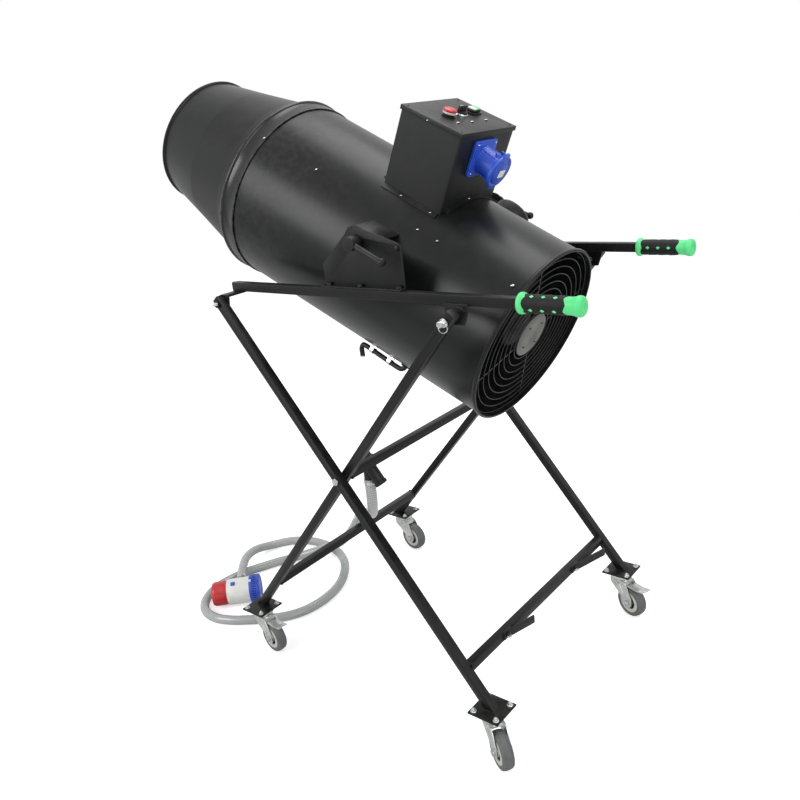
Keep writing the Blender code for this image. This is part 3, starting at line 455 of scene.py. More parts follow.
def makeEdgeWearAndHighlight():
    # lighter edges, broken up along their length: partly bare or polished wear, partly a painted highlight
    # where the edges catch the light
    tree, start, end = newGroup("edgeWearAndHighlight", {"Amount": 0.5, "Breakup Size": 0.02}, ("Mask",))
    edge = rangeNode(tree, addNode(tree, "ShaderNodeNewGeometry")["Pointiness"], 0.515, 0.60)
    broken = rangeNode(tree, objectNoise(tree, start["Breakup Size"], 5.0), 0.40, 0.62)
    return endMask(tree, start, end, edge, broken)


def makeSettledDust():
    # dust on faces that look up, in uneven patches
    tree, start, end = newGroup("settledDust", {"Amount": 0.2, "Patch Size": 0.03}, ("Mask",))
    normal = addNode(tree, "ShaderNodeTexCoord")["Normal"]
    upward = rangeNode(tree, addNode(tree, "ShaderNodeSeparateXYZ", {0: normal})["Z"], 0.1, 1.0)
    patches = rangeNode(tree, objectNoise(tree, start["Patch Size"], 6.0), 0.38, 0.70)
    return endMask(tree, start, end, upward, patches)


def makeBraidWeave():
    # threads that cross in two directions round a hose, from a UV map in metres along and turns round
    inputs = {"Pitch": 0.05, "Threads": 8.0, "Width": 0.3}
    tree, start, end = newGroup("braidWeave", inputs, ("Threads", "Height"))
    spot = addNode(tree, "ShaderNodeSeparateXYZ", {0: addNode(tree, "ShaderNodeTexCoord")["UV"]})
    along = mathNode(tree, "DIVIDE", spot["X"], start["Pitch"])
    strands = []
    for way in (1.0, -1.0):
        turn = mathNode(tree, "ADD", along, mathNode(tree, "MULTIPLY", spot["Y"], way))
        wave = mathNode(tree, "FRACT", mathNode(tree, "MULTIPLY", turn, start["Threads"]))
        off = mathNode(tree, "ABSOLUTE", mathNode(tree, "SUBTRACT", wave, 0.5))
        share = mathNode(tree, "DIVIDE", off, start["Width"])
        strands.append(mathNode(tree, "SUBTRACT", 1.0, mathNode(tree, "MULTIPLY", share, share), True))
    both = mathNode(tree, "MAXIMUM", *strands)
    feed(tree, end["Threads"], both)
    feed(tree, end["Height"], mathNode(tree, "MULTIPLY", both, 0.5))
    return tree


coatGrain = makeCoatGrain()
edgeWearAndHighlight = makeEdgeWearAndHighlight()
settledDust = makeSettledDust()
braidWeave = makeBraidWeave()


def useGroup(tree, group, values):
    return addNode(tree, "ShaderNodeGroup", values, node_tree=group)


def mixColour(tree, first, second, factor):
    ends = [value if isinstance(value, bpy.types.NodeSocket) else (*value, 1) for value in (first, second)]
    return addNode(tree, "ShaderNodeMix", {0: factor, 6: ends[0], 7: ends[1]}, data_type="RGBA")[2]


def bumpFrom(tree, shader, height, strength, distance):
    bump = addNode(tree, "ShaderNodeBump", {"Strength": strength, "Distance": distance, "Height": height})
    feed(tree, shader.inputs["Normal"], bump["Normal"])


def newFinish(name, slotName, plain):
    made = bpy.data.materials.new(name)
    made.use_nodes = True
    made["slot"] = slotName
    shader = made.node_tree.nodes["Principled BSDF"]
    for label, value in plain.items():
        shader.inputs[label].default_value = value
    return made, made.node_tree, shader


commonLook = {
    "patch": 0.06, "breakup": 0.015, "dustPatch": 0.03, "dustColour": (0.30, 0.28, 0.25), "dustRough": 0.5,
    "depth": 0.0003, "plain": {},
}


def coated(name, slotName, ownLook):
    # paint, plastic, rubber or plate: colour in patches, lighter edges that are wear and painted highlight, a
    # little dust and a fine skin
    look = {**commonLook, **ownLook}
    finish, tree, shader = newFinish(name, slotName, look["plain"])
    grain = useGroup(tree, coatGrain, {"Grain Size": look["grain"], "Patch Size": look["patch"]})
    wearAndHighlight = useGroup(tree, edgeWearAndHighlight, {"Amount": look["wearAndHighlight"], "Breakup Size": look["breakup"]})
    dust = useGroup(tree, settledDust, {"Amount": look["dust"], "Patch Size": look["dustPatch"]})
    colour = mixColour(tree, look["colour"], look["shade"], grain["Patches"])
    # edges take the lighter colour: worn coating and also a painted highlight
    colour = mixColour(tree, colour, look["wornAndHighlight"], wearAndHighlight["Mask"])
    colour = mixColour(tree, colour, look["dustColour"], dust["Mask"])
    feed(tree, shader.inputs["Base Color"], colour)
    rough = rangeNode(tree, grain["Patches"], 0, 1, *look["rough"])
    dulled = mathNode(tree, "MULTIPLY", dust["Mask"], look["dustRough"])
    feed(tree, shader.inputs["Roughness"], mathNode(tree, "ADD", rough, dulled, True))
    bumpFrom(tree, shader, grain["Height"], look["bump"], look["depth"])
    return finish


# slot and look of each finish: three colours (the third the edge colour, wear and painted highlight), grain
# and patch sizes in metres, shares of edge wear with painted highlight and of dust
looks = {
    "blackPowder": ("black_powder_coat", {
        "colour": (0.0050, 0.0053, 0.0054), "shade": (0.0068, 0.0070, 0.0068), "wornAndHighlight": (0.05, 0.05, 0.049),
        "grain": 0.0012, "rough": (0.34, 0.40), "wearAndHighlight": 0.08, "dust": 0.03, "bump": 0.18,
        "plain": {"Specular IOR Level": 0.22},
    }),
    "barrelSatin": ("black_satin_sheet", {
        "colour": (0.0042, 0.0048, 0.0050), "shade": (0.0060, 0.0064, 0.0062), "wornAndHighlight": (0.08, 0.08, 0.078),
        "grain": 0.0022, "patch": 0.22, "rough": (0.32, 0.35), "wearAndHighlight": 0.15, "dust": 0.02, "bump": 0.10,
        "plain": {"Specular IOR Level": 0.24},
    }),
    "boxSatin": ("black_satin_sheet", {
        "colour": (0.0080, 0.0086, 0.0086), "shade": (0.0095, 0.0098, 0.0096), "wornAndHighlight": (0.05, 0.05, 0.048),
        "grain": 0.0010, "patch": 0.09, "rough": (0.40, 0.43), "wearAndHighlight": 0.03, "dust": 0.05, "bump": 0.2,
        "plain": {"Specular IOR Level": 0.26},
    }),
    "zincPlate": ("zinc_plate", {
        "colour": (0.60, 0.62, 0.60), "shade": (0.48, 0.50, 0.47), "wornAndHighlight": (0.75, 0.76, 0.75),
        "grain": 0.0015, "patch": 0.02, "rough": (0.24, 0.40), "wearAndHighlight": 0.5, "dust": 0.15, "bump": 0.12,
        "plain": {"Metallic": 0.9},
    }),
    "bareSteel": ("bare_steel", {
        "colour": (0.52, 0.53, 0.54), "shade": (0.40, 0.41, 0.42), "wornAndHighlight": (0.68, 0.68, 0.68),
        "grain": 0.0010, "patch": 0.015, "rough": (0.20, 0.34), "wearAndHighlight": 0.4, "dust": 0.08, "bump": 0.1,
        "plain": {"Metallic": 1.0},
    }),
    "tyreRubber": ("grey_tyre", {
        "colour": (0.085, 0.095, 0.098), "shade": (0.115, 0.122, 0.122), "wornAndHighlight": (0.20, 0.20, 0.19),
        "grain": 0.0008, "patch": 0.02, "rough": (0.62, 0.78), "wearAndHighlight": 0.3, "dust": 0.3, "bump": 0.35,
    }),
    "creamRim": ("grey_tyre", {
        "colour": (0.56, 0.56, 0.50), "shade": (0.46, 0.46, 0.41), "wornAndHighlight": (0.62, 0.62, 0.58),
        "grain": 0.0010, "patch": 0.02, "rough": (0.42, 0.52), "wearAndHighlight": 0.2, "dust": 0.3, "bump": 0.15,
    }),
    "gripRubber": ("black_grip", {
        "colour": (0.0040, 0.0042, 0.0042), "shade": (0.0060, 0.0060, 0.0060), "wornAndHighlight": (0.03, 0.03, 0.03),
        "grain": 0.0009, "patch": 0.03, "rough": (0.58, 0.70), "wearAndHighlight": 0.1, "dust": 0.03, "bump": 0.4,
        "plain": {"Specular IOR Level": 0.25},
    }),
    "gripGreen": ("green_plastic", {
        "colour": (0.075, 0.62, 0.20), "shade": (0.090, 0.68, 0.23), "wornAndHighlight": (0.30, 0.80, 0.45),
        "grain": 0.0008, "patch": 0.02, "rough": (0.42, 0.52), "wearAndHighlight": 0.3, "dust": 0.04, "bump": 0.2,
        "plain": {"Subsurface Weight": 0.1, "Subsurface Radius": (0.004, 0.006, 0.004)},
    }),
    "blueShell": ("blue_plastic", {
        "colour": (0.014, 0.070, 0.52), "shade": (0.012, 0.058, 0.45), "wornAndHighlight": (0.08, 0.20, 0.72),
        "grain": 0.0009, "patch": 0.02, "rough": (0.34, 0.44), "wearAndHighlight": 0.4, "dust": 0.08, "bump": 0.2,
    }),
    "redShell": ("red_plastic", {
        "colour": (0.52, 0.016, 0.022), "shade": (0.44, 0.012, 0.018), "wornAndHighlight": (0.70, 0.10, 0.10),
        "grain": 0.0009, "patch": 0.02, "rough": (0.28, 0.38), "wearAndHighlight": 0.3, "dust": 0.1, "bump": 0.15,
    }),
    "whiteShell": ("white_plastic", {
        "colour": (0.80, 0.80, 0.77), "shade": (0.74, 0.74, 0.70), "wornAndHighlight": (0.84, 0.84, 0.82),
        "grain": 0.0009, "patch": 0.02, "rough": (0.30, 0.42), "wearAndHighlight": 0.2, "dust": 0.2, "bump": 0.15,
    }),
    "blackShell": ("black_plastic", {
        "colour": (0.0055, 0.0055, 0.0058), "shade": (0.0080, 0.0080, 0.0080), "wornAndHighlight": (0.04, 0.04, 0.04),
        "grain": 0.0008, "patch": 0.02, "rough": (0.40, 0.50), "wearAndHighlight": 0.12, "dust": 0.04, "bump": 0.25,
        "plain": {"Specular IOR Level": 0.28},
    }),
    "greyPlate": ("black_powder_coat", {
        "colour": (0.085, 0.086, 0.072), "shade": (0.070, 0.071, 0.060), "wornAndHighlight": (0.18, 0.18, 0.16),
        "grain": 0.0010, "patch": 0.03, "rough": (0.36, 0.46), "wearAndHighlight": 0.4, "dust": 0.1, "bump": 0.25,
    }),
    "guardWire": ("black_powder_coat", {
        "colour": (0.008, 0.008, 0.008), "shade": (0.012, 0.012, 0.012), "wornAndHighlight": (0.08, 0.08, 0.078),
        "grain": 0.0008, "rough": (0.30, 0.38), "wearAndHighlight": 0.1, "dust": 0.02, "bump": 0.1,
        "plain": {"Specular IOR Level": 0.35},
    }),
    "lampLens": ("white_plastic", {
        "colour": (0.55, 0.56, 0.50), "shade": (0.45, 0.46, 0.40), "wornAndHighlight": (0.7, 0.7, 0.66),
        "grain": 0.0006, "patch": 0.004, "rough": (0.12, 0.2), "wearAndHighlight": 0.1, "dust": 0.1, "bump": 0.05,
    }),
}
finishes = {name: coated(name, slotName, look) for name, (slotName, look) in looks.items()}


def braidedHose(look):
    # clear wall over a white braid: pale threads, grey between them, a gloss skin
    finish, tree, shader = newFinish("braidedHose", "clear_braided_hose", look["plain"])
    values = {label.capitalize(): look[label] for label in ("pitch", "threads", "width")}
    weave = useGroup(tree, braidWeave, values)
    grain = useGroup(tree, coatGrain, {"Grain Size": look["grain"], "Patch Size": look["patch"]})
    wall = mixColour(tree, look["wall"], look["wallShade"], grain["Patches"])
    feed(tree, shader.inputs["Base Color"], mixColour(tree, wall, look["thread"], weave["Threads"]))
    feed(tree, shader.inputs["Roughness"], rangeNode(tree, grain["Patches"], 0, 1, *look["rough"]))
    bumpFrom(tree, shader, weave["Height"], look["bump"], look["depth"])
    return finish


finishes["braidedHose"] = braidedHose({
    "pitch": 0.045, "threads": 9.0, "width": 0.26, "wall": (0.21, 0.225, 0.235),
    "wallShade": (0.15, 0.165, 0.175), "thread": (0.46, 0.47, 0.46), "grain": 0.004, "patch": 0.09,
    "rough": (0.22, 0.36), "bump": 0.35, "depth": 0.0006,
    "plain": {"Coat Weight": 0.55, "Coat Roughness": 0.12, "IOR": 1.5},
})
print("finishes made:", len(finishes))

# Geometry Nodes trees: one copies a shape to points, one makes ring guards, one makes wire nets


def newShapeTree(name, inputs):
    tree = bpy.data.node_groups.new(name, "GeometryNodeTree")
    tree.interface.new_socket("Geometry", in_out="OUTPUT", socket_type="NodeSocketGeometry")
    for label, kind in {"Geometry": "Geometry", **inputs, "Finish": "Material"}.items():
        tree.interface.new_socket(label, in_out="INPUT", socket_type="NodeSocket" + kind)
    return tree, tree.nodes.new("NodeGroupInput").outputs


def endTree(tree, start, geometry):
    real = addNode(tree, "GeometryNodeRealizeInstances", {"Geometry": geometry})["Geometry"]
    inputs = {"Geometry": real, "Material": start["Finish"]}
    painted = addNode(tree, "GeometryNodeSetMaterial", inputs)["Geometry"]
    feed(tree, tree.nodes.new("NodeGroupOutput").inputs["Geometry"], painted)
    return tree


def makeCopiesTree():
    # a copy of Shape stands on each point, its Z along "facing", turned by "spin" and sized by "share"
    tree, start = newShapeTree("copiesOnPoints", {"Shape": "Object", "Size": "Float"})
    facing, spin, share = [
        addNode(tree, "GeometryNodeInputNamedAttribute", {"Name": label}, data_type=kind)["Attribute"]
        for label, kind in (("facing", "FLOAT_VECTOR"), ("spin", "FLOAT"), ("share", "FLOAT"))
    ]
    aim = addNode(tree, "FunctionNodeAlignRotationToVector", {"Vector": facing}, axis="Z")["Rotation"]
    roll = addNode(tree, "FunctionNodeAxisAngleToRotation", {"Angle": spin})["Rotation"]
    turns = {"Rotation": aim, "Rotate By": roll}
    inputs = {
        "Points": start["Geometry"],
        "Instance": addNode(tree, "GeometryNodeObjectInfo", {"Object": start["Shape"]})["Geometry"],
        "Rotation": addNode(tree, "FunctionNodeRotateRotation", turns, rotation_space="LOCAL")["Rotation"],
        "Scale": mathNode(tree, "MULTIPLY", share, start["Size"]),
    }
    return endTree(tree, start, addNode(tree, "GeometryNodeInstanceOnPoints", inputs)["Instances"])


def sweptWire(tree, lines, radius, sides, caps=False):
    wire = addNode(tree, "GeometryNodeCurvePrimitiveCircle", {"Resolution": sides, "Radius": radius})["Curve"]
    inputs = {"Curve": lines, "Profile Curve": wire, "Fill Caps": caps}
    return addNode(tree, "GeometryNodeCurveToMesh", inputs)["Mesh"]


def makeRingsTree():
    # rings about Z from Inner to Outer, each a round wire
    inputs = {"Rings": "Int", "Inner": "Float", "Outer": "Float", "Wire": "Float"}
    tree, start = newShapeTree("wireRings", inputs)
    inputs = {"Offset": (0, 0, 0), "Count": start["Rings"]}
    line = addNode(tree, "GeometryNodeMeshLine", inputs, mode="OFFSET")
    circle = addNode(tree, "GeometryNodeCurvePrimitiveCircle", {"Resolution": 96, "Radius": 1})
    index = addNode(tree, "GeometryNodeInputIndex")["Index"]
    last = mathNode(tree, "SUBTRACT", start["Rings"], 1)
    inputs = {
        "Points": line["Mesh"],
        "Instance": circle["Curve"],
        "Scale": rangeNode(tree, index, 0, last, start["Inner"], start["Outer"]),
    }
    rings = addNode(tree, "GeometryNodeInstanceOnPoints", inputs)["Instances"]
    real = addNode(tree, "GeometryNodeRealizeInstances", {"Geometry": rings})["Geometry"]
    return endTree(tree, start, sweptWire(tree, real, start["Wire"], 10))


def makeNetTree():
    # a square net in the XY plane, cut round, of thin wire
    tree, start = newShapeTree("roundNet", {"Reach": "Float", "Cells": "Int", "Wire": "Float"})
    width = mathNode(tree, "MULTIPLY", start["Reach"], 2)
    inputs = {"Size X": width, "Size Y": width, "Vertices X": start["Cells"], "Vertices Y": start["Cells"]}
    grid = addNode(tree, "GeometryNodeMeshGrid", inputs)["Mesh"]
    spot = addNode(tree, "GeometryNodeInputPosition")[0]
    length = addNode(tree, "ShaderNodeVectorMath", {0: spot}, operation="LENGTH")["Value"]
    settings = {"data_type": "FLOAT", "operation": "GREATER_THAN"}
    outside = addNode(tree, "FunctionNodeCompare", {0: length, 1: start["Reach"]}, **settings)["Result"]
    inputs = {"Geometry": grid, "Selection": outside}
    trimmed = addNode(tree, "GeometryNodeDeleteGeometry", inputs, domain="POINT")["Geometry"]
    lines = addNode(tree, "GeometryNodeMeshToCurve", {"Mesh": trimmed})["Curve"]
    return endTree(tree, start, sweptWire(tree, lines, start["Wire"], 4, True))


copiesTree = makeCopiesTree()
ringsTree = makeRingsTree()
netTree = makeNetTree()


def grown(name, mesh, tree, values):
    # runs a shape tree on a mesh and gives back the plain mesh that it makes
    holder = bpy.data.objects.new(name, mesh)
    scene.collection.objects.link(holder)
    step = holder.modifiers.new(name, "NODES")
    step.node_group = tree
    for item in tree.interface.items_tree:
        if item.in_out == "INPUT" and item.name in values:
            step[item.identifier] = values[item.name]
    bpy.context.view_layer.update()
    graph = bpy.context.evaluated_depsgraph_get()
    made = bpy.data.meshes.new_from_object(holder.evaluated_get(graph))
    made.name = name
    bpy.data.objects.remove(holder, do_unlink=True)
    return made


def copies(name, shape, places, finish, body, frameOf=None):
    # places: (point, facing) or (point, facing, spin, share); shape is made about Z, in its own size
    seedMesh = bpy.data.meshes.new(name + "Seed")
    shape.to_mesh(seedMesh)
    shape.free()
    seed = bpy.data.objects.new(name + "Seed", seedMesh)
    scene.collection.objects.link(seed)
    frameOf = frameOf or Matrix()
    spots = bpy.data.meshes.new(name + "Points")
    spots.from_pydata([frameOf @ Vector(place[0]) for place in places], [], [])
    facing = spots.attributes.new("facing", "FLOAT_VECTOR", "POINT")
    spin = spots.attributes.new("spin", "FLOAT", "POINT")
    share = spots.attributes.new("share", "FLOAT", "POINT")
    for i, place in enumerate(places):
        facing.data[i].vector = (frameOf.to_3x3() @ Vector(place[1])).normalized()
        spin.data[i].value = place[2] if len(place) > 2 else 0.0
        share.data[i].value = place[3] if len(place) > 3 else 1.0
    mesh = grown(name, spots, copiesTree, {"Shape": seed, "Size": 1.0, "Finish": finishes[finish]})
    bpy.data.objects.remove(seed, do_unlink=True)
    return dress(name, mesh, finish, body, (), 38)


# fasteners, made about Z with their seat at z = 0


def domeScrew(radius=0.0035, height=0.0020, slot=0.0006):
    # a pan head with a cross recess
    profile = [(0, 0), (0, radius), (height * 0.35, radius), (height * 0.75, radius * 0.82)]
    profile += [(height, radius * 0.45), (height * 0.85, 0)]
    bars = []
    for degrees in (0, 90):
        low = (-radius * 0.5, -slot / 2, height * 0.78)
        bar = roundBlock(low, (radius * 0.5, slot / 2, height * 1.02), 0.0001, 1)
        bars.append(placed(bar, turn=turned(degrees, "Z")))
    return gathered(placed(lathe(profile, 16), turn=xToZ), *bars)


def hexBolt(radius=0.0055, height=0.004, washer=0.0):
    # a hexagon head on a thin washer
    angles = [math.radians(60 * i) for i in range(6)]
    outline = [(radius * math.cos(a), radius * math.sin(a)) for a in angles]
    low = 0.0011 if washer else 0.0
    shapes = [plate(outline, low, low + height, radius * 0.10, 2)]
    if washer:
        disc = lathe([(0, 0), (0, washer), (0.0008, washer), (0.0011, washer * 0.94), (0.0011, 0)], 20)
        shapes.append(placed(disc, turn=xToZ))
    return gathered(*shapes)


def nutOnStud(radius=0.0055, height=0.004, stud=0.003, reach=0.007):
    nut = hexBolt(radius, height, radius * 1.25)
    end = lathe([(0.001, 0), (0.001, stud), (reach - 0.0006, stud), (reach, stud * 0.8), (reach, 0)], 12)
    return gathered(nut, placed(end, turn=xToZ))


print("shape trees made")

# supply hose: its route as in the model, in metres
hoseLook = {"radius": 0.0135, "gap": 0.0003, "stub": (0.033, -0.200, 0.540), "steps": 8, "sides": 28}
pumpLook = {
    "start": (-0.626, -0.272, 0.0435), "end": (-0.523, -0.170, 0.0435), "outletAlong": 0.078,
    "outletReach": 0.0585, "slots": 36, "slotsAt": 0.130, "slotsOut": 0.0418, "coverTurn": 24,
}


def pumpAxis():
    start = Vector(pumpLook["start"])
    return start, (Vector(pumpLook["end"]) - start).normalized()


def outletPoint(distance):
    start, along = pumpAxis()
    return start + along * pumpLook["outletAlong"] + Vector((-along.y, along.x, 0)) * distance


def hoseRoute():
    gap = hoseLook["gap"]
    floor = hoseLook["radius"] + gap
    x, y, top = hoseLook["stub"]
    return [
        (x, y, top - gap), (x, y, top - 0.010), (x, y, top - 0.022), (0.0300, -0.1975, 0.4880),
        (0.020, -0.189, 0.458), (0.001, -0.1725, 0.430), (-0.030, -0.1455, 0.405), (-0.075, -0.107, 0.376),
        (-0.130, -0.060, 0.343), (-0.198, -0.006, 0.300), (-0.262, 0.041, 0.2555), (-0.310, 0.071, 0.213),
        (-0.353, 0.090, 0.165), (-0.397, 0.101, 0.119), (-0.445, 0.106, 0.079), (-0.500, 0.098, 0.051),
        (-0.552, 0.077, 0.030), (-0.596, 0.045, 0.0165), (-0.628, 0.004, floor), (-0.653, -0.045, floor),
        (-0.676, -0.094, floor), (-0.690, -0.145, floor), (-0.694, -0.197, floor), (-0.682, -0.248, floor),
        (-0.652, -0.291, floor), (-0.608, -0.318, floor), (-0.557, -0.323, floor), (-0.508, -0.307, floor),
        (-0.465, -0.281, floor), (-0.425, -0.252, floor), (-0.384, -0.218, floor), (-0.353, -0.174, floor),
        (-0.338, -0.120, floor), (-0.338, -0.063, floor), (-0.352, -0.006, floor), (-0.382, 0.050, floor),
        (-0.428, 0.102, floor), (-0.490, 0.140, floor), (-0.562, 0.157, floor), (-0.635, 0.151, floor),
        (-0.697, 0.117, floor), (-0.733, 0.060, floor + 0.003), (-0.736, -0.004, floor + 0.018),
        (-0.713, -0.064, floor + 0.0272), outletPoint(0.145), outletPoint(0.105), outletPoint(0.082),
        outletPoint(0.071), outletPoint(pumpLook["outletReach"] + gap),
    ]


def routeLength(points):
    return sum((Vector(b) - Vector(a)).length for a, b in zip(points, points[1:]))


def makeHose():
    path = smoothRoute(hoseRoute(), hoseLook["steps"])
    shape = tube(path, hoseLook["radius"], hoseLook["sides"])
    hose = piece("supply_hose_braided", shape, "braidedHose", "inner_frame", ("supply_hose",))
    return hose, path


hose, hosePath = makeHose()
print("hose laid:", round(routeLength(hosePath), 3), "m")

# barrel: everything here is made in the drum's own frame, X backwards along its axis, Z its upper side
barrel = {
    "tilt": (0.143, 0, 1.1195), "elevation": math.radians(25.9), "drop": (0.007, 0, -0.1175),
    "radius": 0.2118, "taper": -0.0204, "wall": 0.002, "front": -0.428, "rear": 0.330, "steps": 144,
    "screwAngle": math.radians(43), "screws": (-0.412, -0.243, 0.056, 0.109, 0.302),
    "bandScrewLift": 0.0032, "rearScrewSize": 1.35,
    "mouth": -0.7595, "coneRear": 0.2162, "coneFront": 0.1602,
}
drumFrame = (
    Matrix.Translation(barrel["tilt"]) @ Matrix.Rotation(barrel["elevation"], 4, "Y")
    @ Matrix.Translation(barrel["drop"])
)


def drumRadius(x):
    return barrel["radius"] + barrel["taper"] * x


def onDrum(x, angle, lift=0.0):
    # a point on the drum, angle from its top towards the near side, and the way out there
    out = outward(angle)
    return Vector((x, 0, 0)) + out * (drumRadius(x) + lift), out


def inDrum(bm):
    return moved(bm, drumFrame)


def skin(name, profile, finish, node):
    piece(name, inDrum(lathe(profile, barrel["steps"], True)), finish, "barrel", (node,))


def makeBarrelSkins():
    front, rear, mouth, wall = (barrel[label] for label in ("front", "rear", "mouth", "wall"))
    edge = [(-0.0095, 0.0008), (-0.0080, 0.0028), (-0.0062, 0.0039), (-0.0025, 0.0039), (-0.0008, 0.0028)]
    edge += [(0, 0.0008), (0, -wall * 0.6), (-0.001, -wall)]
    shell = [(x, drumRadius(x)) for x in (front, front + 0.3, rear - 0.012)]
    shell += shifted(edge, rear, drumRadius(rear)) + [(front, drumRadius(front) - wall)]
    skin("drum_shell_rolled", shell, "barrelSatin", "drum_shell")

    radius = drumRadius(front)
    band = [(0.020, 0.0010), (0.020, 0.0026), (0.0194, 0.0031), (0.0165, 0.0031), (0.0150, 0.0022)]
    band += [(-0.0125, 0.0022), (-0.0145, 0.0026), (-0.0160, 0.0044), (-0.0180, 0.0058), (-0.0205, 0.0062)]
    band += [(-0.0228, 0.0052), (-0.0240, 0.0034), (-0.0240, 0.0010)]
    skin("joint_band_beaded", shifted(band, front, radius), "bandSatin", "joint_band")

    wide, narrow, rim = barrel["coneRear"], barrel["coneFront"], 0.009
    cone = shifted([(-0.0003, 0), (-0.020, 0), (-0.0225, -0.0012)], front, radius) + [(front - 0.0245, wide)]
    cone += [(front + (mouth + rim - front) * t, wide + (narrow - wide) * t) for t in (0.25, 0.5, 0.75)]
    roll = [(rim, 0.1600), (0.0078, 0.1618), (0.0062, 0.1636), (0.0040, 0.1645), (0.0018, 0.1638)]
    roll += [(0.0004, 0.1620), (0, 0.1600), (0.0006, 0.1584), (0.008, 0.1580)]
    cone += shifted(roll, mouth) + [(front - 0.024, 0.2145), (front - 0.0003, radius - wall)]
    skin("mouth_cone_spun", cone, "barrelSatin", "mouth_cone")

    places = []
    for angle in (barrel["screwAngle"], -barrel["screwAngle"]):
        for i, x in enumerate(barrel["screws"]):
            spot, out = onDrum(x, angle, barrel["bandScrewLift"] if i == 0 else 0.0)
            places.append((spot, out, 0.7 * i, barrel["rearScrewSize"] if i == 4 else 1.0))
    copies("barrel_screws", domeScrew(0.0036, 0.0022), places, "bareSteel", "barrel", drumFrame)


guardLook = {"x": 0.318, "wire": 0.0011, "rings": 9, "inner": 0.060, "disc": 0.052, "spokes": 4,
             "turn": 20, "screwCircle": 0.034}


def makeGuard():
    # flat rings on four spokes round a pressed plate
    x, radius = guardLook["x"], guardLook["disc"]
    outer = drumRadius(x) - barrel["wall"] - 0.0030
    values = {
        "Rings": guardLook["rings"], "Inner": guardLook["inner"], "Outer": outer, "Wire": guardLook["wire"],
        "Finish": finishes["guardWire"],
    }
    rings = grown("guard_rings", bpy.data.meshes.new("guard_rings"), ringsTree, values)
    rings.transform(drumFrame @ Matrix.Translation((x, 0, 0)) @ zToX)
    dress("guard_rings", rings, "guardWire", "barrel", ("fan_guard",), 60)
    shapes = []
    for i in range(guardLook["spokes"]):
        bar = roundBlock((-0.0013, -0.0017, radius - 0.006), (0.0005, 0.0017, outer + 0.0014), 0.0004)
        shapes.append(placed(bar, (x - 0.0012, 0, 0), turn=turned(guardLook["turn"] + 90 * i)))
    piece("guard_spokes", inDrum(gathered(*shapes)), "guardWire", "barrel")
    disc = [(-0.001, 0), (-0.001, radius - 0.001), (0.0004, radius), (0.0018, radius - 0.0006)]
    disc += [(0.0034, radius - 0.005), (0.0040, radius - 0.010), (0.0040, 0.018), (0.0033, 0.0165)]
    disc += [(0.0033, 0)]
    piece("guard_plate", inDrum(lathe(shifted(disc, x), 72)), "greyPlate", "barrel")
    places = []
    for degrees in (45, 135, 225, 315):
        a = math.radians(degrees)
        away = guardLook["screwCircle"]
        places.append((Vector((x + 0.0040, away * math.cos(a), away * math.sin(a))), (1, 0, 0), a))
    copies("guard_plate_screws", domeScrew(0.0030, 0.0016), places, "blackShell", "barrel", drumFrame)


fanLook = {
    "x": 0.142, "blades": 5, "root": 0.038, "tip": 0.186, "chord": 0.031, "twist": (62, 34), "motorFins": 28,
    "finsAt": 0.098, "finsOut": 0.0500, "spans": 10, "chords": 8, "thick": 0.0013, "camber": 0.004,
}


def makeBlade():
    # one curved and twisted blade that points up, with rounded edges
    bm = bmesh.new()
    spans, chords, root = fanLook["spans"], fanLook["chords"], fanLook["root"]
    sheets = []
    for side in (-1, 1):
        sheet = []
        for i in range(spans + 1):
            t = i / spans
            twist = math.radians(fanLook["twist"][0] - fanLook["twist"][1] * t)
            chord = fanLook["chord"] * (1 - 0.12 * t) * (1 - 0.35 * max(0.0, t - 0.88) / 0.12)
            row = []
            for j in range(chords + 1):
                u = 2 * j / chords - 1
                thick = fanLook["thick"] * math.sqrt(max(0.0, 1 - u * u)) + 0.0002
                flat = Vector((side * thick + fanLook["camber"] * (1 - u * u), u * chord))
                row.append(bm.verts.new((
                    fanLook["x"] + 0.020 + flat.x * math.cos(twist) - flat.y * math.sin(twist) * 0.45,
                    flat.x * math.sin(twist) + flat.y * math.cos(twist) * 0.9,
                    root + (fanLook["tip"] - root) * t,
                )))
            sheet.append(row)
        sheets.append(sheet)
    return slab(bm, *sheets)


def makeFan():
    x = fanLook["x"]
    hub = [(-0.002, 0.0064), (-0.002, 0.034), (0.001, 0.040), (0.004, 0.042), (0.036, 0.042), (0.038, 0.040)]
    shapes = [lathe(shifted(hub + [(0.038, 0.0064)], x), 48, True)]
    for blade in range(fanLook["blades"]):
        shapes.append(moved(makeBlade(), turned(360 / fanLook["blades"] * blade)))
    piece("impeller_moulded", inDrum(gathered(*shapes)), "blackShell", "impeller", ("impeller",), 50)

    softened("fan_motor", "blackShell", "barrel", 0.0008)
    fin = roundBlock((-0.0010, -0.030, -0.0005), (0.0010, 0.030, 0.0024), 0.0003, 1)
    places = []
    for i in range(fanLook["motorFins"]):
        out = outward(2 * math.pi * i / fanLook["motorFins"])
        places.append((Vector((x + fanLook["finsAt"], 0, 0)) + out * fanLook["finsOut"], out, 0.0))
    copies("motor_fins", fin, places, "blackShell", "barrel", drumFrame)
    softened("spray_ring", "bareSteel", "barrel", 0.0004)


netLook = {"x": -0.398, "cells": 44, "wire": 0.0005}


def makeNet():
    softened("foam_screen", "bareSteel", "barrel", 0.0004)
    reach = drumRadius(netLook["x"]) - barrel["wall"] - 0.006
    values = {
        "Reach": reach, "Cells": netLook["cells"], "Wire": netLook["wire"], "Finish": finishes["bareSteel"],
    }
    net = grown("foam_net", bpy.data.meshes.new("foam_net"), netTree, values)
    net.transform(drumFrame @ (Matrix.Translation((netLook["x"] - 0.002, 0, 0)) @ zToX))
    dress("foam_net", net, "bareSteel", "barrel", (), 60)


feedLook = {"radius": 0.006, "side": (0, -0.488, -0.873), "standOff": 0.0125, "turn": 0.098,
            "clips": (0.0, 0.055), "clipRadius": 0.0072}


def feedPoint(x, reach):
    return Vector((x, 0, 0)) + Vector(feedLook["side"]).normalized() * reach


